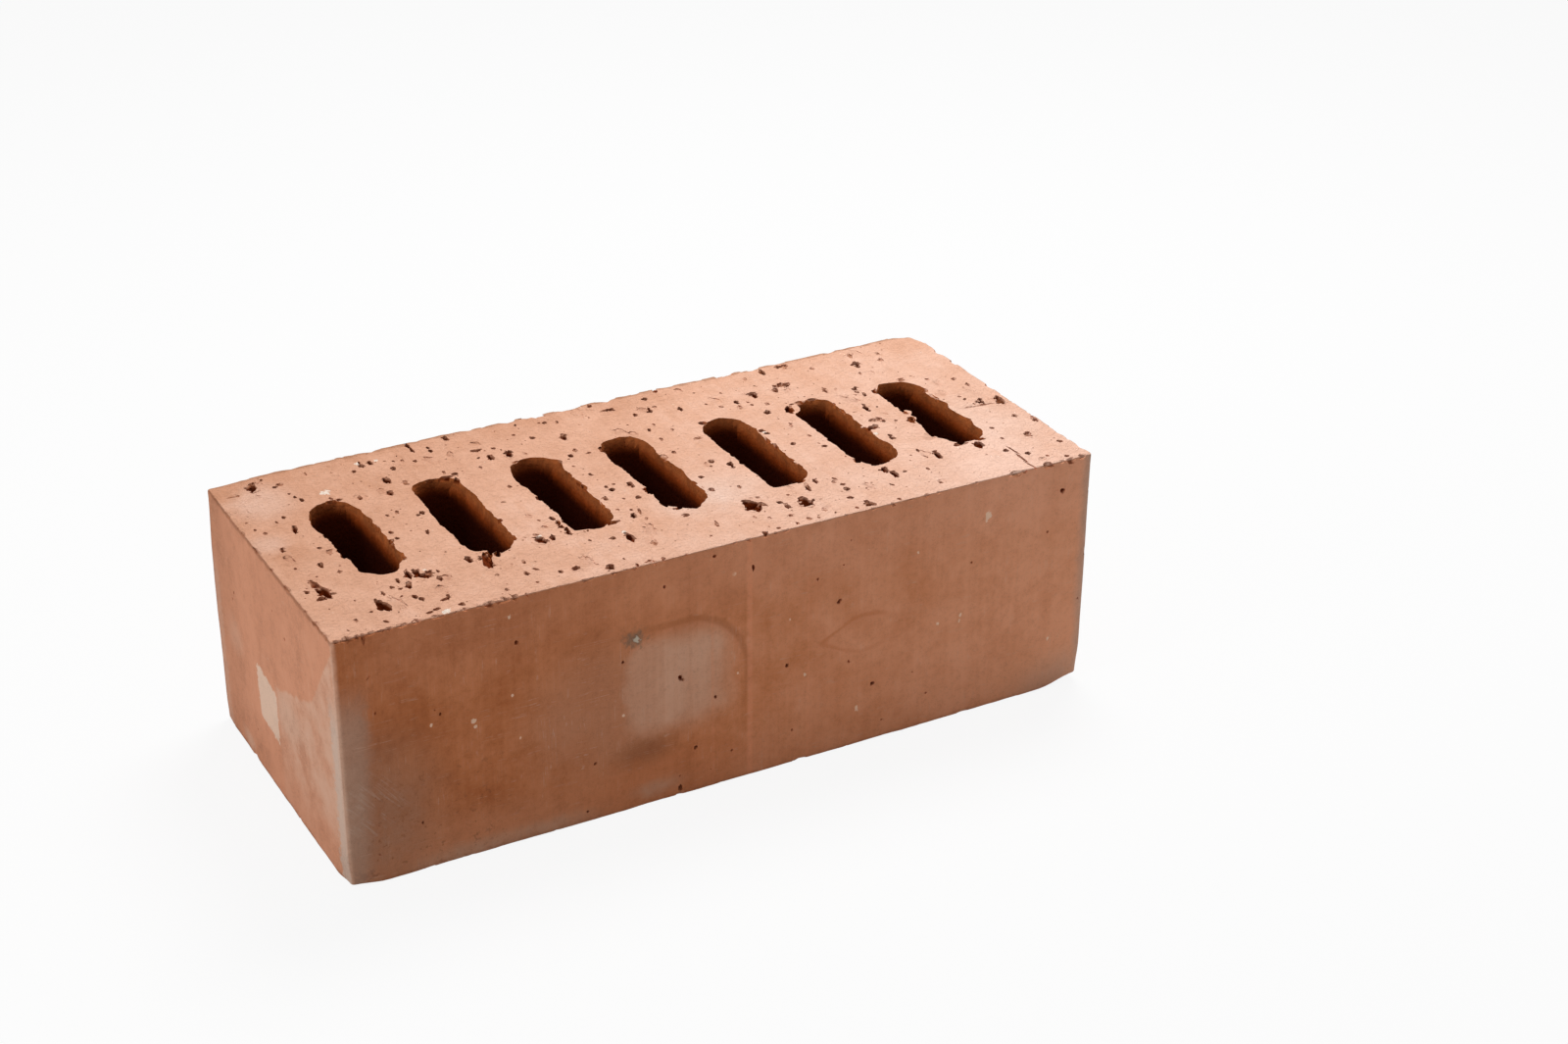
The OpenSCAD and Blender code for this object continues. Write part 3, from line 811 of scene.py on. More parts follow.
def scatteredPits(draw):
    for face, (count, smallest, largest) in clayMarks["scattered"].items():
        axis = faces[face][0]
        across = [half[i] for i in range(3) if i != axis]
        rise = 0 if axis == 2 else half.z
        for _ in range(count):
            u = draw.uniform(-1, 1) * (across[0] - 1)
            v = draw.uniform(-1, 1) * (across[1] - 1) + rise
            if axis == 2 and draw.random() < clayMarks["gathered"]:
                cluster = draw.choice(clayMarks["clusters"])
                u, v = (draw.gauss(middle, clayMarks["gather"]) for middle in cluster)
            size = smallest + (largest - smallest) * draw.random() ** 2.4
            long = size * draw.uniform(0.8, 2.2)
            turn = draw.uniform(-40, 40)
            depth = size * draw.uniform(0.3, 1.2)
            if abs(u) < across[0] and (axis != 2 or not inSlot(u, v, 0.5)):
                yield pit(face, u, v, size, long, turn, depth)


def raggedRims(draw):  # small bites in the rims of the larger pits, so that none is a plain oval
    for face in ("top", "bottom"):
        for u, v, width, length, turn, *_ in marks[face]:
            if max(width, length) < clayMarks["raggedFrom"]:
                continue
            for i in range(clayMarks["rimBites"]):
                angle = draw.uniform(-0.6, 0.6) + (i + 0.5) * math.tau / clayMarks["rimBites"]
                out = Vector((width * math.cos(angle), length * math.sin(angle))) * clayMarks["biteOut"]
                out.rotate(Matrix.Rotation(math.radians(turn), 2))
                bite = min(width, length) * draw.uniform(0.3, 0.6)
                long = bite * draw.uniform(1, 2)
                spin = draw.uniform(-90, 90)
                depth = bite * draw.uniform(0.4, 0.9)
                yield pit(face, u + out.x, v + out.y, bite, long, spin, depth)


def rimNicks(draw):
    inside, along = clayMarks["nickSides"]
    across, end = clayMarks["nickEnds"]
    for x, y in slotCentres():
        for face in ("top", "bottom"):
            for _ in range(clayMarks["rimNicks"]):
                side = draw.choice((-1, 1))
                bite = draw.uniform(0.9, 2.2)
                long = bite * draw.uniform(1.2, 2.6)
                if draw.random() < 0.7:
                    u, v = x + side * (slots["width"] / 2 - inside), y + draw.uniform(-along, along)
                    size = bite, long
                else:
                    u, v = x + draw.uniform(-across, across), y + side * end
                    size = long, bite
                yield pit(face, u, v, *size, draw.uniform(-12, 12), draw.uniform(0.5, 1.6))


def edgeNicks(draw):
    inside, under = clayMarks["nickInset"]
    for z, sizes in ((under, clayMarks["footNicks"]), (height - under, clayMarks["topNicks"])):
        for _ in range(clayMarks["edgeNicks"]):
            side = draw.choice((-1, 1))
            size = draw.uniform(*sizes)
            if draw.random() < 0.68:
                place = (draw.uniform(-1, 1) * half.x, side * (half.y - inside), z)
                shape = (size * draw.uniform(1, 2.2), size, size)
            else:
                place = (side * (half.x - inside), draw.uniform(-1, 1) * half.y, z)
                shape = (size, size * draw.uniform(1, 2.2), size)
            yield Vector(place), shape, Matrix.Identity(3)


def drawnOnBed(draw, margin):
    return [draw.uniform(-1, 1) * (size - margin) for size in half.xy]


def placedCrumbs():
    for u, v, width, length, turn in topCrumbs:
        size = (width, length, clayMarks["crumbHeight"])
        yield onFace("top", u, v, 0.15), size, turned(turn)


def crumbs(draw):
    for _ in range(clayMarks["crumbs"]):
        u, v = drawnOnBed(draw, clayMarks["crumbMargin"])
        size = draw.uniform(*clayMarks["crumbSizes"])
        turn = Matrix.Rotation(draw.uniform(0, 3), 3, "Z")
        if not inSlot(u, v, 1.5):
            shape = (size, size * draw.uniform(1, 1.6), clayMarks["crumbHeight"])
            yield onFace("top", u, v, 0.2), shape, turn


def lips():
    wider, thick = clayMarks["lip"]
    for face in ("top", "bottom"):
        for u, v, width, length, turn, *_ in marks[face]:
            if min(width, length) > clayMarks["lipFrom"] and not inSlot(u, v, clayMarks["lipClear"]):
                size = (width + wider, length + wider, thick)
                yield onFace(face, u, v, 0.05), size, turned(turn)


def tears(draw):
    for face in ("top", "bottom"):
        for _ in range(clayMarks["tears"]):
            u, v = drawnOnBed(draw, clayMarks["tearMargin"])
            width = draw.uniform(*clayMarks["tearWidths"])
            size = (width, width * draw.uniform(1, 2.4), draw.uniform(*clayMarks["tearHeights"]))
            turn = Matrix.Rotation(draw.uniform(-0.5, 0.5), 3, "Z")
            if not inSlot(u, v, 1):
                yield onFace(face, u, v, 0), size, turn


def ballShape(detail):
    deselectAll()
    bpy.ops.mesh.primitive_ico_sphere_add(subdivisions=detail, radius=0.5)
    ball = bpy.context.object
    points = pointsOf(ball)
    corners = [tuple(face.vertices) for face in ball.data.polygons]
    bpy.data.objects.remove(ball)
    return points, corners


def room(rock):
    return clayMarks["room"] * max(rock[1])


def keptApart(rocks):  # groups in which no rock touches another, so that each group cuts cleanly
    groups = []
    for rock in rocks:
        for group in groups:
            if all((rock[0] - other[0]).length > room(rock) + room(other) for other in group):
                group.append(rock)
                break
        else:
            groups.append([rock])
    return groups


def addRocks(rocks, balls, jitter):
    points, corners = [], []
    for place, size, turn in rocks:
        shape, shapeFaces = balls[1 + sum(max(size) >= limit for limit in clayMarks["finerFrom"])]
        dent = 1 + clayMarks["roughness"] * jitter.uniform(-1, 1, (len(shape), 1))
        dented = (shape * dent * np.array(size)) @ np.array(turn).T + np.array(place)
        corners += [tuple(i + len(points) for i in face) for face in shapeFaces]
        points += [tuple(p * mm) for p in dented]
    mesh = bpy.data.meshes.new("rocks")
    mesh.from_pydata(points, [], corners)
    rocksPiece = bpy.data.objects.new("rocks", mesh)
    bpy.context.collection.objects.link(rocksPiece)
    return rocksPiece


def dropLoose(body):  # slivers and lips that the cuts have set free
    pickNearest(body, (0, half.y, half.z))
    bpy.ops.mesh.select_linked()
    bpy.ops.mesh.select_all(action="INVERT")
    bpy.ops.mesh.delete(type="VERT")
    endEdit()


def markClay(body):
    draw = random.Random(clayMarks["seed"])
    jitter = np.random.RandomState(clayMarks["seed"])
    balls = {detail: ballShape(detail) for detail in (1, 2, 3)}
    grit = list(placedCrumbs()) + list(lips()) + list(crumbs(draw))
    for group in keptApart(grit):
        combine(body, addRocks(group, balls, jitter), "UNION")
    for group in keptApart(list(tears(draw))):
        combine(body, addRocks(group, balls, jitter), "DIFFERENCE")
    print("crumbs and tears made,", len(body.data.polygons), "faces")
    pits = [pit(face, *row) for face, rows in marks.items() for row in rows]
    pits += [(Vector(place), size, Matrix.Identity(3)) for place, size in cornerChips]
    pits += [edgeChip(edge, *row) for edge, rows in edgeChips.items() for row in rows]
    pits += list(scatteredPits(draw)) + list(rimNicks(draw)) + list(edgeNicks(draw))
    pits += list(raggedRims(draw))
    groups = keptApart(pits)
    for group in groups:
        combine(body, addRocks(group, balls, jitter), "DIFFERENCE")
    dropLoose(body)
    triangles = sum(len(face.vertices) - 2 for face in body.data.polygons)
    print(len(pits), "pits cut in", len(groups), "groups,", triangles, "triangles")


def smoothClay(body):
    makeActive(body)
    bpy.ops.object.shade_smooth_by_angle(angle=math.radians(brick["smoothAngle"]))


# fired clay, painted by place in the brick

clay = {  # colours in linear light
    # the upright faces' skin is darker and redder than the beds, and the near end paler than the front:
    # partly each face's own tone, partly painted shade and light for how each face is lit
    "skin": [(0.22, (0.42, 0.122, 0.037)), (0.5, (0.635, 0.232, 0.101)), (0.8, (0.82, 0.36, 0.202))],
    "endSkin": (0.60, 0.292, 0.186),
    "upperFront": (0.88, 0.42, 0.27),
    "lowFront": (0.82, 0.37, 0.205),
    "bed": [(0.2, (0.60, 0.280, 0.160)), (0.5, (0.805, 0.447, 0.304)), (0.8, (0.955, 0.622, 0.487))],
    # painted shade: the dark inside of pits and pinholes
    "pit": (0.175, 0.027, 0.003),
    # painted light and shade in the slots: the lit upper wall, the redder shaded wall below it, and the
    # dark depths
    "slotLitWall": (0.60, 0.175, 0.050),
    "slotShadedRed": (0.66, 0.130, 0.020),
    "slotDeepShade": (0.09, 0.014, 0.002),
    # painted shade: a reddish-brown ring on the upper walls of pits
    "pitRimShade": (0.46, 0.165, 0.055),
    # painted shade in chips near the arrises
    "broken": (0.31, 0.108, 0.045),
    "scum": (0.60, 0.43, 0.34),
    "paleScum": (0.66, 0.415, 0.300),
    "cream": (0.76, 0.54, 0.41),
    "mauve": (0.72, 0.405, 0.270),
    "haze": (0.53, 0.228, 0.124),
    "ring": (0.42, 0.140, 0.055),
    "redder": (0.58, 0.180, 0.066),
    "dieRed": (0.80, 0.310, 0.160),
    "soot": (0.27, 0.100, 0.045),
    "stain": (0.30, 0.085, 0.03),
    "footDust": (0.62, 0.40, 0.285),
    "dull": (0.41, 0.205, 0.125),
    "leftGrey": (0.52, 0.325, 0.235),
    # painted grey shade at the front's right upright arris
    "rightArrisShade": (0.52, 0.345, 0.262),
    "spot": (0.20, 0.145, 0.100),
    "ash": (0.64, 0.55, 0.43),
    # painted shade on the far part of the near end
    "endBackShade": (0.42, 0.178, 0.096),
    # painted shade in dark lines along arrises
    "arrisShade": (0.28, 0.110, 0.055),
    # painted shade along the upper bed's far edge
    "farRimShade": (0.42, 0.205, 0.118),
    "dust": (0.93, 0.69, 0.58),
    "fleck": (0.95, 0.68, 0.49),
    "lime": (0.97, 0.86, 0.74),
    "black": (0, 0, 0),
    "specular": 0.08,
    "bump": 0.9,
}

clayPatches = {  # centre, half its size, how far its edge wanders each way, where it fades, strength
    "haze": [((-40, 34), (29, 25), (1, 1), (1.15, 0.3), 1)],
    "warmFoot": [((-18, 8), (32, 11), (1, 0.5), (1.15, 0.4), 0.32)],
    "smudge": [((-29.3, 17.5), (10, 5), (1, 0.6), (1.4, 0.1), 0.55)],
    "footDust": [((-25.5, 5), (9, 3), (1, 0.5), (1.3, 0.2), 0.8)],
    "dull": [((-106, 21), (22, 28), (1.5, 1.5), (1.2, 0.2), 1)],
    "grime": [((-92, 16), (30, 22), (1, 1), (1.2, 0.5), 0.5)],
    # painted grey shade at the front's lower right
    "rightArrisShade": [((116, 0), (26, 13), (1, 0.5), (1.3, 0.4), 0.6)],
    "scrape": [((-107, 24), (10, 11), (1, 1), (1.2, 0.5), 0.3)],
    "endScum": [
        ((-10, 30), (13, 8), (1, 1), (1.2, 0.3), 0.6),
        ((34, 35), (8, 7), (1, 1), (1.2, 0.3), 0.36),
        ((29, 4), (6, 3), (0.5, 0.5), (1.2, 0.3), 0.6),
    ],
    "backHaze": [((34, 42), (36, 24), (2, 1.4), (1.2, 0.2), 1)],
    "backFlash": [((-72, 24), (34, 26), (2, 2), (1.2, 0.2), 1)],
    "endFlash": [((20, 58), (24, 16), (2, 2), (1.2, 0.2), 1)],
    "dust": [
        ((-104, 33), (10, 13), (1, 0), (1.3, 0.2), 0.6),
        ((-111, 8), (7, 7), (0, 1), (1.3, 0.2), 0.5),
        ((102, -16), (13, 22), (1, 0), (1.3, 0.2), 0.45),
        ((6, -20), (17, 12), (0, 1), (1.3, 0.2), 1),
    ],
}

clayShapes = {  # on the front by x and z, on the near end by y and z
    "greySquare": ((-18.8, 36), (15.4, 15.6), 8),  # centre, half its size, corner
    "squareRim": ((-30, 34), (33, 21), 19),
    "label": ((8.2, 26.6), (7.8, 8.0), 0.8),
    "leaf": ((39.3, 36.4), (12.5, 5.6)),
    "stain": ((-110.5, 3), (3.4, 2.2)),
    "spot": ((-30.9, 53.2), (3.2, 2.6)),
    "spotCore": ((-30.4, 53.1), (1.1, 0.9)),
    "dieLine": 3.6,
    "faintDieLines": (-7.9, 22),
    "frontFlecks": [  # x, z, radius
        (-77.9, 41.4, 1.1), (-77.5, 39.6, 0.7), (-66.7, 69.2, 1), (80, 63.4, 1.5), (79.4, 61.6, 0.8),
        (16.1, 46.7, 0.7), (64.3, 32.6, 0.9), (71.9, 33.6, 0.9), (71.6, 31.6, 0.6), (102.9, 17.5, 1),
        (-89.6, 43.6, 0.6), (-0.2, 34.3, 0.9), (-65, 32.6, 0.8), (37.9, 12.1, 1), (57, 57.4, 0.6),
        (-66.8, 45.9, 0.6), (20.9, 27.9, 0.6), (-35, 30.6, 0.6),
    ],
    "topFlecks": [  # x, y, radius
        (-86.6, 30, 1.5), (-83, -48.4, 1.3), (-79.8, -25.2, 0.6), (-72.4, 43.2, 0.8), (-67, 43, 0.7),
        (-45.6, -21.4, 0.8), (-24.2, -30, 0.7), (67.2, -8.4, 0.9), (39, 7.4, 0.6),
    ],
}


def away(flat, centre, extent):  # 0 at the centre of an oval, 1 at its edge
    offset = flat.vectors("SUBTRACT", (*centre, 0))
    return offset.vectors("DIVIDE", (*extent, 1)).vectors("LENGTH", out=1)


def patch(at, flat, name):  # soft ovals with wandering edges
    masks = []
    for centre, extent, loose, fade, strength in clayPatches[name]:
        swayed = at.sway.vectors("MULTIPLY_ADD", (*loose, 0), flat)
        masks.append(away(swayed, centre, extent).ease(*fade) * strength)
    return functools.reduce(Wire.most, masks)


def nearestSpeck(flat, rows, narrow=1):  # 0 at the middle of the nearest speck, 1 at its edge
    squeezed = flat.stretched((1 / narrow, 1, 1))
    gaps = [squeezed.vectors("DISTANCE", (a / narrow, b, 0), out=1) / radius for a, b, radius in rows]
    return functools.reduce(Wire.least, gaps)


def fromSquare(flat, centre, extent, corner):  # distance from a square with rounded corners
    offset = flat.vectors("SUBTRACT", (*centre, 0)).vectors("ABSOLUTE")
    straight = (extent[0] - corner, extent[1] - corner, 0)
    past = offset.vectors("SUBTRACT", straight).vectors("MAXIMUM", (0, 0, 0))
    return past.vectors("LENGTH", out=1) - corner


def cellDots(place, scale, radius, share):  # small round spots in a share of the cells
    cells = place.make("ShaderNodeTexVoronoi", None, {"Vector": place, "Scale": scale})
    outs = cells.socket.node.outputs
    pick = cells.make("ShaderNodeSeparateColor", None, (Wire(outs["Color"]),)).socket.node.outputs
    size = Wire(pick[1]) * 0.6 + 0.4
    ragged = Wire(outs["Distance"]) / size
    return ragged.ease(radius, radius * 0.5) * Wire(pick[0]).ease(1 - share, 1 - share + 0.02)


def clayPlaces(nodes):  # which face a point is on, and how far inside
    coords = Wire(nodes.new("ShaderNodeTexCoord").outputs["Object"])
    place = coords.stretched((1 / mm, 1 / mm, 1 / mm))
    x, y, z = place.parts()
    at = types.SimpleNamespace(place=place, x=x, y=y, z=z)
    at.along, at.across, at.flat = x.beside(z), y.beside(z), x.beside(y)
    at.toEnd = half.x - abs(x)
    at.toSide = half.y - abs(y)
    at.toBed = z.least(height - z)
    at.toDie = at.toEnd.least(at.toSide)
    at.fromArris = at.toBed.most(at.toDie)
    at.onBed = (at.toDie - at.toBed).ease(-0.3, 0.3)
    at.onEnd = (at.toSide - at.toEnd).ease(-0.4, 0.4) * (1 - at.onBed)
    onSide = (1 - at.onEnd) * (1 - at.onBed)
    at.onFront = onSide * y.ease(4, -4)
    at.onBack = onSide * y.ease(-4, 4)
    at.onLeft = at.onEnd * x.ease(4, -4)
    at.onRight = at.onEnd * x.ease(-4, 4)
    at.onTop = at.onBed * z.ease(34, 40)
    return at


def findHollows(at, nodes):
    normal = Wire(nodes.new("ShaderNodeNewGeometry").outputs["True Normal"])
    _, forward, at.upward = normal.parts()
    steep = abs(at.upward).ease(0.8, 0.45) * at.toDie.ease(1, 2)
    gaps = []
    for middle, length in zip(slotCentres(), slots["lengths"]):
        gaps.append(fromSquare(at.flat, middle, (slots["width"] / 2, length / 2), slots["corner"]))
    nearSlot = functools.reduce(Wire.least, gaps).ease(1.6, 0.8)
    # the slot walls, which are painted with light and shade
    at.inSlot = at.toBed.ease(0.8, 2.5).most(steep) * nearSlot
    # painted shade deep in the slots, darker on their end walls
    at.deep = (at.toBed + abs(forward).ease(0.3, 0.8) * 3).ease(3, 9) * at.inSlot
    fromFace = at.toDie.least(at.toBed) - at.fromArris.ease(2.6, 1.2) * 0.35
    for sides, pull, reach in brick["wornCorners"]:  # the faces themselves lie lower there
        apart = at.place.vectors("DISTANCE", cornerAt(sides), out=1)
        fromFace = fromFace - apart.ease(reach, 0) * max(abs(part) for part in pull)
    # the share of painted shade in pits, chips and on steep walls, by how far a point lies under the face
    at.hollow = fromFace.ease(0.42, 1.3).most(steep * 0.35)


def addTones(at):  # uneven tones at several sizes
    place = at.place
    at.cloud = place.noise(0.02, 2)
    at.mottle = place.noise(0.08, 4, 0.62)
    at.blotch = place.noise(0.3, 3, 0.6)
    at.grain = place.noise(1.3, 3, 0.7)
    at.speck = place.noise(3.4, 2, 0.6)
    at.streak = place.stretched((1, 1, 0.015)).noise(0.16, 4, 0.7)
    at.wireDrag = place.stretched((1, 0.09, 1)).noise(0.6, 3, 0.65)
    at.crumble = place.noise(0.8, 2, 0.6).ease(0.36, 0.62)
    at.wander = (at.mottle - 0.5) * 7 + (at.blotch - 0.5) * 4
    at.sway = at.wander.beside(at.wander)
    at.haze = patch(at, at.along, "haze") * at.onFront
    at.dull = patch(at, at.along, "dull") * at.onFront


def dieSkin(at):  # the smooth skin that the die leaves, darker and redder than the beds partly as painted shade
    x, z = at.x, at.z
    tone = at.cloud * 0.36 + at.mottle * 0.4 + at.streak * 0.24 + at.blotch * 0.16
    # painted light: the front brighter towards the right
    skin = (tone + at.onFront * x * 0.0021 - 0.05).ramp(clay["skin"])
    # painted light in part: the near end paler than the front
    skin = (at.onLeft * 0.65).tint(skin, clay["endSkin"])
    upper = z.ease(46, 70) * (x.ease(-116, -96) * 0.13 + x.ease(-50, 15) * 0.16)
    skin = (upper * at.onFront).tint(skin, clay["upperFront"])
    lower = z.ease(22, 3) * (0.2 + x.ease(-30, -75) * 0.25 + x.ease(70, 100) * 0.6)
    return (lower * at.onFront).tint(skin, clay["lowFront"])


def cutBed(at):  # the torn face that the wire leaves, paler than the upright faces partly as painted light
    x, y = at.x, at.y
    tone = at.cloud * 0.3 + at.mottle * 0.3 + at.blotch * 0.14 + at.wireDrag * 0.15 + 0.1
    # painted light and shade on the upper bed: brighter towards the right and the near side, darker near
    # the far edge and the right end
    topLightShade = x * 0.0015 - y * 0.0015 - y.ease(34, 48) * 0.06 - x.ease(90, 112) * 0.085
    return (tone + at.onTop * topLightShade).ramp(clay["bed"])


def hazeFront(base, at):  # haze, a grey square with its redder rim, and a leaf-shaped rim
    x, z, wander = at.x, at.z, at.wander
    base = (at.haze * (0.35 + at.mottle * 0.7)).tint(base, clay["haze"])
    square = fromSquare(x.beside(z + wander * 0.3), *clayShapes["greySquare"])
    blur = 1.3 + x.ease(-32, -16) * 3 + z.ease(36, 24) * 2
    grey = ((wander * 0.6 - square) / blur).ease(-1, 1.3) * (z + wander * 0.7 - x * 0.12).ease(18, 30)
    grey = grey * (0.5 + at.mottle * 0.5 + (at.streak - 0.5) * 0.8) * (0.68 + x.ease(-32, -16) * 0.4)
    base = (grey * at.onFront).tint(base, clay["mauve"])
    broken = at.onFront * (0.2 + at.blotch * 0.6)
    rim = abs(fromSquare(at.along, *clayShapes["squareRim"]) + wander * 0.25).ease(1.7, 0.3)
    rim = rim * (z + x * 0.3 + wander).ease(20, 34) * (x.ease(-48, -14) * 0.85 + 0.15)
    base = (rim * broken).tint(base, clay["ring"])
    (middle, level), extent = clayShapes["leaf"]
    taper = x.ease(24, 40) * 0.6 + 0.4
    leaf = away(x.beside((z - level + wander * 0.2) / taper), (middle, 0), extent)
    leaf = abs(leaf - 1).ease(0.2, 0.02) * (x + wander).ease(53, 42) * (z + wander).ease(26, 38)
    return (leaf * broken).tint(base, clay["redder"])


def stainFront(base, at):  # warm foot, smudge, dust, a stained corner, dull and grimy clay
    x, z, wander, onFront = at.x, at.z, at.wander, at.onFront
    base = (patch(at, at.along, "warmFoot") * onFront).tint(base, clay["redder"])
    base = (patch(at, at.along, "smudge") * onFront).tint(base, clay["soot"])
    footDust = (z + wander * 0.7).ease(6.5, 2) * abs(x + wander * 2 + 70).ease(32, 14)
    footDust = footDust.most(patch(at, at.along, "footDust"))
    base = (footDust * onFront * (0.1 + at.blotch * 0.7)).tint(base, clay["footDust"])
    stain = away(at.along, *clayShapes["stain"]) + (at.crumble - 0.5) * 0.8
    base = (stain.ease(1.1, 0.5) * onFront * 0.7).tint(base, clay["stain"])
    base = (at.dull * (0.25 + at.blotch * 0.9)).tint(base, clay["dull"])
    grime = at.place.noise(0.5, 3, 0.7).ease(0.58, 0.68) * patch(at, at.along, "grime")
    return (grime * onFront).tint(base, clay["soot"])


def edgeFront(base, at):  # grey edges, painted grey shade at the right one, the die's lines, a dark spot and scrapes
    x, z, wander, onFront = at.x, at.z, at.wander, at.onFront
    leftGrey = (at.toEnd + wander * 0.9 + (30 - z) * 0.06).ease(9.5, 4.5)
    leftGrey = leftGrey * (z + wander).ease(64, 48) * x.ease(0, -50)
    base = (leftGrey * onFront * (0.35 + at.mottle * 0.6)).tint(base, clay["leftGrey"])
    # painted grey shade along the front's right upright arris, where the rounded edge turns away, and at
    # its lower right
    rightArrisShade = (at.toEnd + wander * 0.5).ease(5.0, 0.5) * x.ease(0, 50)
    rightArrisShade = rightArrisShade.most(patch(at, at.along, "rightArrisShade"))
    base = (rightArrisShade * onFront * (0.4 + at.blotch * 0.6)).tint(base, clay["rightArrisShade"])
    dieLine = abs(x + (at.streak - 0.5) * 0.8 - clayShapes["dieLine"]).ease(1.3, 0.3)
    for faint in clayShapes["faintDieLines"]:
        dieLine = dieLine.most(abs(x - faint).ease(0.6, 0.2) * 0.3)
    base = (dieLine * onFront * (0.3 + at.blotch * 0.7)).tint(base, clay["dieRed"])
    ragged = at.crumble - 0.5
    spot = away(at.along, *clayShapes["spot"]) + (at.blotch - 0.5) * 1.3 + ragged * 0.5
    base = (spot.ease(1.5, 0.2) * onFront * 0.8).tint(base, clay["spot"])
    core = away(at.along, *clayShapes["spotCore"]) + ragged * 0.8
    base = (core.ease(1.1, 0.6) * onFront * 0.9).tint(base, clay["ash"])
    slant = (x * 0.76 + z * 0.65).beside(x * 0.026 - z * 0.03)
    scrape = abs(slant.noise(0.8, 2) - 0.5).ease(0.035, 0.008) * at.blotch.ease(0.35, 0.6)
    return (scrape * patch(at, at.along, "scrape") * onFront).tint(base, clay["scum"])


def paintNearEnd(base, at):  # pale scum below a slanting line, a cream square, painted shade along the far edge
    y, z, wander, onLeft = at.y, at.z, at.wander, at.onLeft
    scumLine = 37 + 0.385 * (-4 - y).most(0) + 0.885 * (-30 - y).most(0)
    scum = (scumLine - z + wander * 0.6).ease(-0.5, 1.0) * (y + wander * 0.4).ease(2, -3)
    scum = scum * ((z + wander * 1.6).ease(4, 26) * 0.8 + 0.2)
    cloudy = 0.2 + at.mottle.ease(0.3, 0.66) * 0.5 + (at.blotch - 0.5) * 0.4
    base = (scum * onLeft * cloudy).tint(base, clay["paleScum"])
    base = (patch(at, at.across, "endScum") * onLeft).tint(base, clay["paleScum"])
    ragged = wander * 0.3 + (at.crumble - 0.5) * 0.9
    leaning = (y + ragged).beside(z + ragged - (y - 8) * 0.16)
    label = fromSquare(leaning, *clayShapes["label"])
    base = (label.ease(0.5, -0.5) * onLeft * 0.92).tint(base, clay["cream"])
    # painted shade along the near end's far upright edge and over its far part
    endBackShade = (at.toSide + wander * 0.5).ease(6, 1) * y.ease(0, 30) * 0.6
    endBackShade = endBackShade.most(y.ease(20, 46) * 0.45)
    return (endBackShade * onLeft).tint(base, clay["endBackShade"])


def paintHiddenSides(base, at):  # back and far end: a pale haze, a redder flash and a scum patch
    x, y, z, wander = at.x, at.y, at.z, at.wander
    haze = patch(at, at.along, "backHaze") * at.onBack
    base = (haze * (0.2 + at.mottle * 0.7)).tint(base, clay["mauve"])
    flash = patch(at, at.along, "backFlash") * at.onBack
    flash = flash.most(patch(at, at.across, "endFlash") * at.onRight)
    base = (flash * (0.2 + at.blotch * 0.6)).tint(base, clay["redder"])
    bloom = (26 + y * 0.35 - z + wander * 0.9).ease(-0.8, 1.2) * (y + wander).ease(-34, -20) * at.onRight
    onBack = (16 - x * 0.12 - z + wander * 1.2).ease(-1, 2) * (x + wander).ease(-20, 30) * at.onBack
    cloudy = at.mottle * 0.5 + at.blotch.ease(0.3, 0.7) * 0.4
    return (bloom.most(onBack) * cloudy).tint(base, clay["paleScum"])


def paintArrises(base, at):  # bloom along the upright arrises, dark lines of painted shade along the others
    x, y, z, wander, uneven = at.x, at.y, at.z, at.wander, at.blotch - 0.5
    arris = at.toEnd.most(at.toSide)
    strip = (arris + wander * 0.6 + (at.crumble - 0.5) * 1.6).ease(7.0, 4.8)
    strip = strip * (z + wander).ease(60, 46) * at.onEnd
    nearLeft = x.ease(0, -20) * y.ease(0, -20)
    base = (strip * (0.25 + nearLeft * 0.7)).tint(base, clay["scum"])
    worn = arris.ease(2.0, 0.7) * (1 - at.onBed) * (1 - at.onLeft * y.ease(0, 20))
    base = (worn * (0.25 + at.blotch * 0.5)).tint(base, clay["paleScum"])
    # painted shade in dark lines along the near end's bed arrises, the front's foot and the near end's far
    # upright arris
    line = (at.toBed + uneven * 1.6).ease(1.9, 0.8) * (at.onLeft + at.onFront * z.ease(20, 10) * 0.4)
    upright = (at.toSide + uneven * 2.4).ease(3.0, 1.0) * y.ease(0, 20) * at.onLeft
    return (line.most(upright) * (0.25 + at.mottle * 0.6)).tint(base, clay["arrisShade"])


def dustTop(base, at):  # pale dust on the upper bed, painted shade along its far edge
    dusty = patch(at, at.flat, "dust") * at.onTop
    base = (dusty * (at.mottle * 0.6 + at.grain * 0.4)).tint(base, clay["dust"])
    # painted shade along the far edge of the upper bed, where the rounded arris turns away
    farRimShade = (at.toSide + (at.blotch - 0.5) * 2.4).ease(2.6, 0.9) * at.y.ease(20, 40) * at.onTop
    return (farRimShade * 0.75).tint(base, clay["farRimShade"])


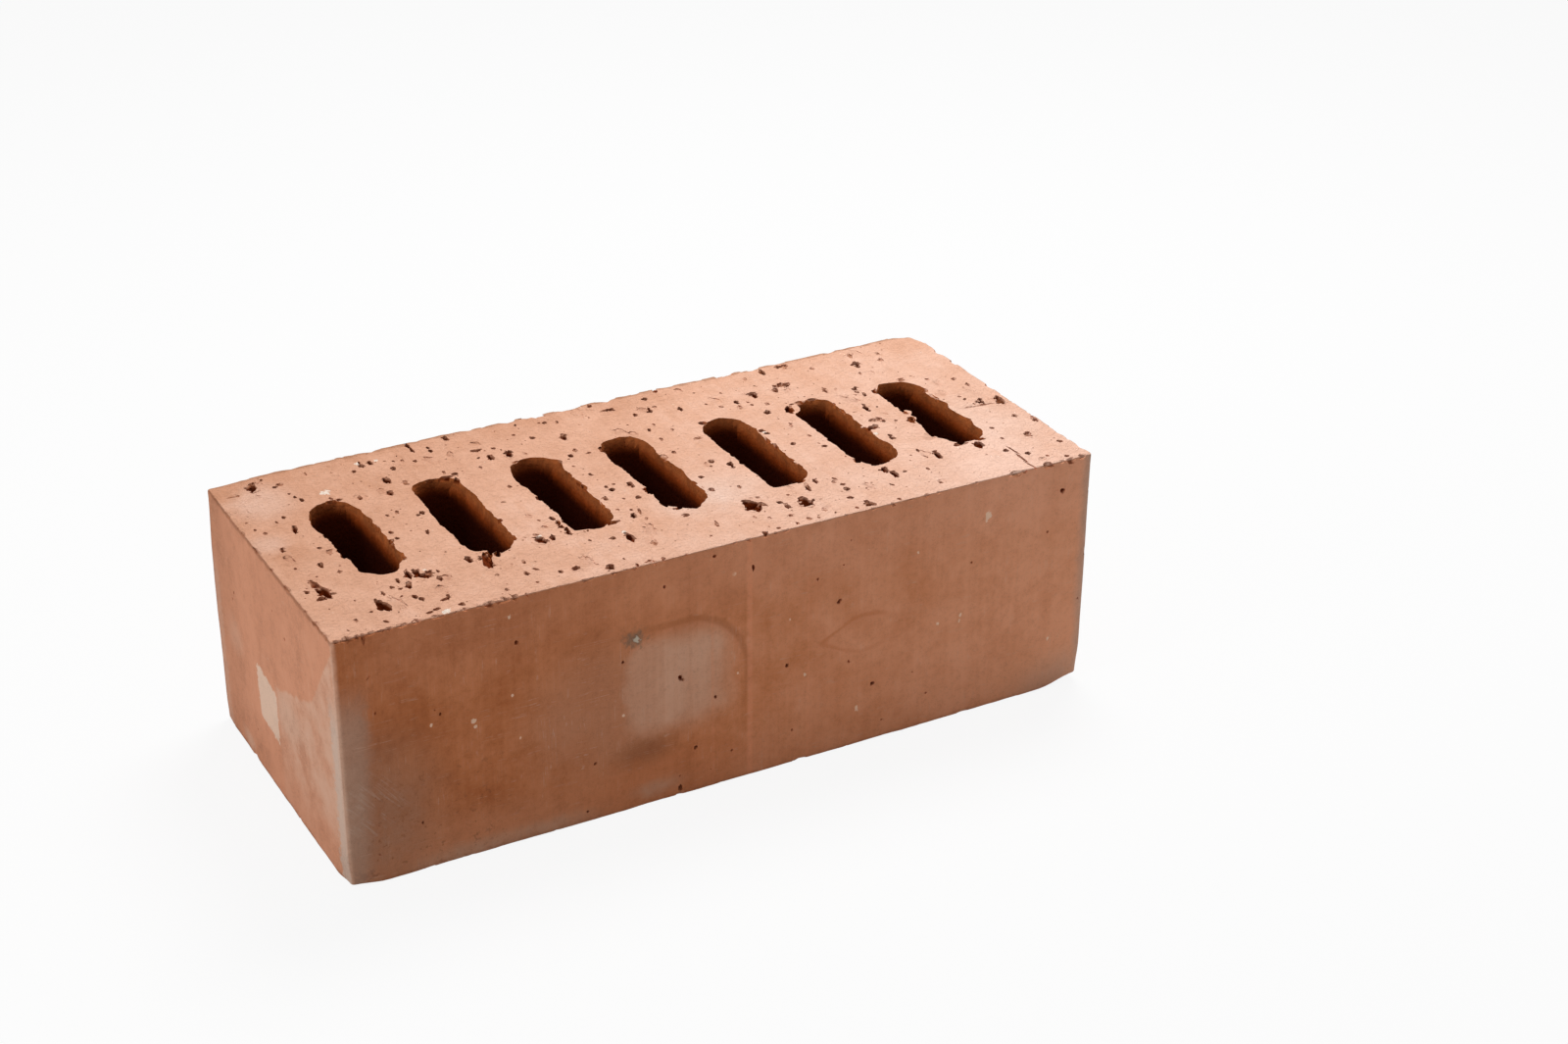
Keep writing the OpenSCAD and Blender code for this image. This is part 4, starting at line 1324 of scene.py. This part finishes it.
def addFlecks(base, at):  # flecks of lime and grit, and pinholes painted as dark dots of shade
    ragged = at.crumble - 0.5
    mark = nearestSpeck(at.along, clayShapes["frontFlecks"], 0.73) / 0.85 + ragged * 0.7
    base = (mark.ease(1.05, 0.65) * at.onFront * 0.75).tint(base, clay["fleck"])
    mark = nearestSpeck(at.flat, clayShapes["topFlecks"]) + ragged * 0.9
    base = (mark.ease(1.05, 0.65) * at.onTop * 0.8).tint(base, clay["lime"])
    grit = cellDots(at.place, 0.12, 0.1, 0.25) * at.grain.ease(0.35, 0.6)
    base = (grit * 0.6).tint(base, clay["fleck"])
    # painted shade: pinholes as small dark dots
    pinhole = cellDots(at.place, 0.42, 0.2, 0.3) * (at.onBed * 0.8 + 0.1)
    pinhole = pinhole.most(cellDots(at.place, 0.36, 0.16, 0.25) * at.dull * 0.7)
    return (pinhole * 0.8).tint(base, clay["pit"])


def hairLines(at):
    upHair = at.place.stretched((1, 1, 0.025)).noise(0.9, 2, 0.5)
    sideHair = at.place.stretched((0.035, 0.035, 1)).noise(0.9, 2, 0.5)
    hair = abs(upHair - 0.5).ease(0.014, 0.004) * at.mottle.ease(0.45, 0.62)
    hair = hair.most(abs(sideHair - 0.5).ease(0.012, 0.004) * at.mottle.ease(0.55, 0.42))
    return hair * at.blotch.ease(0.42, 0.6) * (1 - at.onBed)


def addGrain(base, at):  # pale hair lines, then fine light and dark
    base = (hairLines(at) * (0.35 + at.haze * 0.35)).tint(base, clay["paleScum"])
    shade = (at.grain - 0.5) * (0.45 + at.onLeft * 0.1) + (at.blotch - 0.5) * (0.22 + at.onLeft * 0.12)
    shade = shade + (at.speck - 0.5) * 0.4 + (at.streak - 0.5) * 0.16 * (1 - at.onBed)
    shade = shade + (at.mottle - 0.5) * 0.45 * at.onLeft + 0.99
    return shade.tint(clay["black"], base)


def paintHollowShade(base, at):  # painted shade inside pits, chips and slots, and painted light on the slot walls
    toBed, hollow = at.toBed, at.hollow
    # painted shade in pits, a lighter brown in chips near the arrises
    inside = at.fromArris.ease(6, 3.5).tint(clay["pit"], clay["broken"])
    base = hollow.tint(base, inside)
    # painted shade on up-facing ledges in chips on the upright faces near a bed
    ledgeShade = at.upward.ease(0.25, 0.6) * toBed.ease(0.9, 1.4) * toBed.ease(6, 4) * (1 - at.onBed)
    base = (ledgeShade * 0.7).tint(base, clay["broken"])
    # painted shade in a reddish-brown ring on the upper walls of the pits in the beds
    rimShade = hollow.ease(0.2, 0.5) * (1 - hollow) * at.onBed
    base = (rimShade * 0.7).tint(base, clay["pitRimShade"])
    # painted light and shade on the slot walls: uneven, a little brighter to the right, lit near the rim
    # and shaded deeper down
    light = 0.82 + at.x * 0.001 + (at.streak - 0.5) * 0.8 + (at.blotch - 0.5) * 0.9
    wall = toBed.ease(1.5, 6).tint(clay["slotLitWall"], clay["slotShadedRed"])
    base = at.inSlot.tint(base, light.tint(clay["black"], wall))
    # painted shade in the depths of the slots
    return at.deep.tint(base, clay["slotDeepShade"])


def clayBump(at):
    onDie = 1 - at.onBed
    relief = at.grain * (0.06 + at.onBed * 0.22) + at.blotch * (0.1 + at.onBed * 0.25)
    relief = relief + at.streak * onDie * 0.2 + at.wireDrag * at.onBed * 0.25 + at.crumble * at.onBed * 0.22
    return relief.make("ShaderNodeBump", None, {"Strength": clay["bump"], "Distance": mm, "Height": relief})


def clayPaint():
    paint, shader = newPaint("firedClay")
    tree = paint.node_tree
    at = clayPlaces(tree.nodes)
    findHollows(at, tree.nodes)
    addTones(at)
    base = at.onBed.tint(dieSkin(at), cutBed(at))
    layers = [hazeFront, stainFront, edgeFront, paintNearEnd, paintHiddenSides, paintArrises]
    layers += [dustTop, addFlecks, addGrain, paintHollowShade]
    for layer in layers:
        base = layer(base, at)
    rough = 0.8 + at.onBed * 0.1 + (at.grain - 0.5) * 0.15
    tree.links.new(base.socket, shader.inputs["Base Color"])
    tree.links.new(rough.socket, shader.inputs["Roughness"])
    tree.links.new(clayBump(at).socket, shader.inputs["Normal"])
    shader.inputs["Specular IOR Level"].default_value = clay["specular"]
    print("clay painted,", len(tree.nodes), "nodes")
    return paint


addCamera()
addFloor()
addSky()
addLamps()
clayBrick = buildBrick()
markClay(clayBrick)
smoothClay(clayBrick)
paint = clayPaint()
clayBrick.data.materials.clear()
clayBrick.data.materials.append(paint)
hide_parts("brick")
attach(clayBrick, "root")

bpy.context.scene.view_settings.view_transform = "Standard"
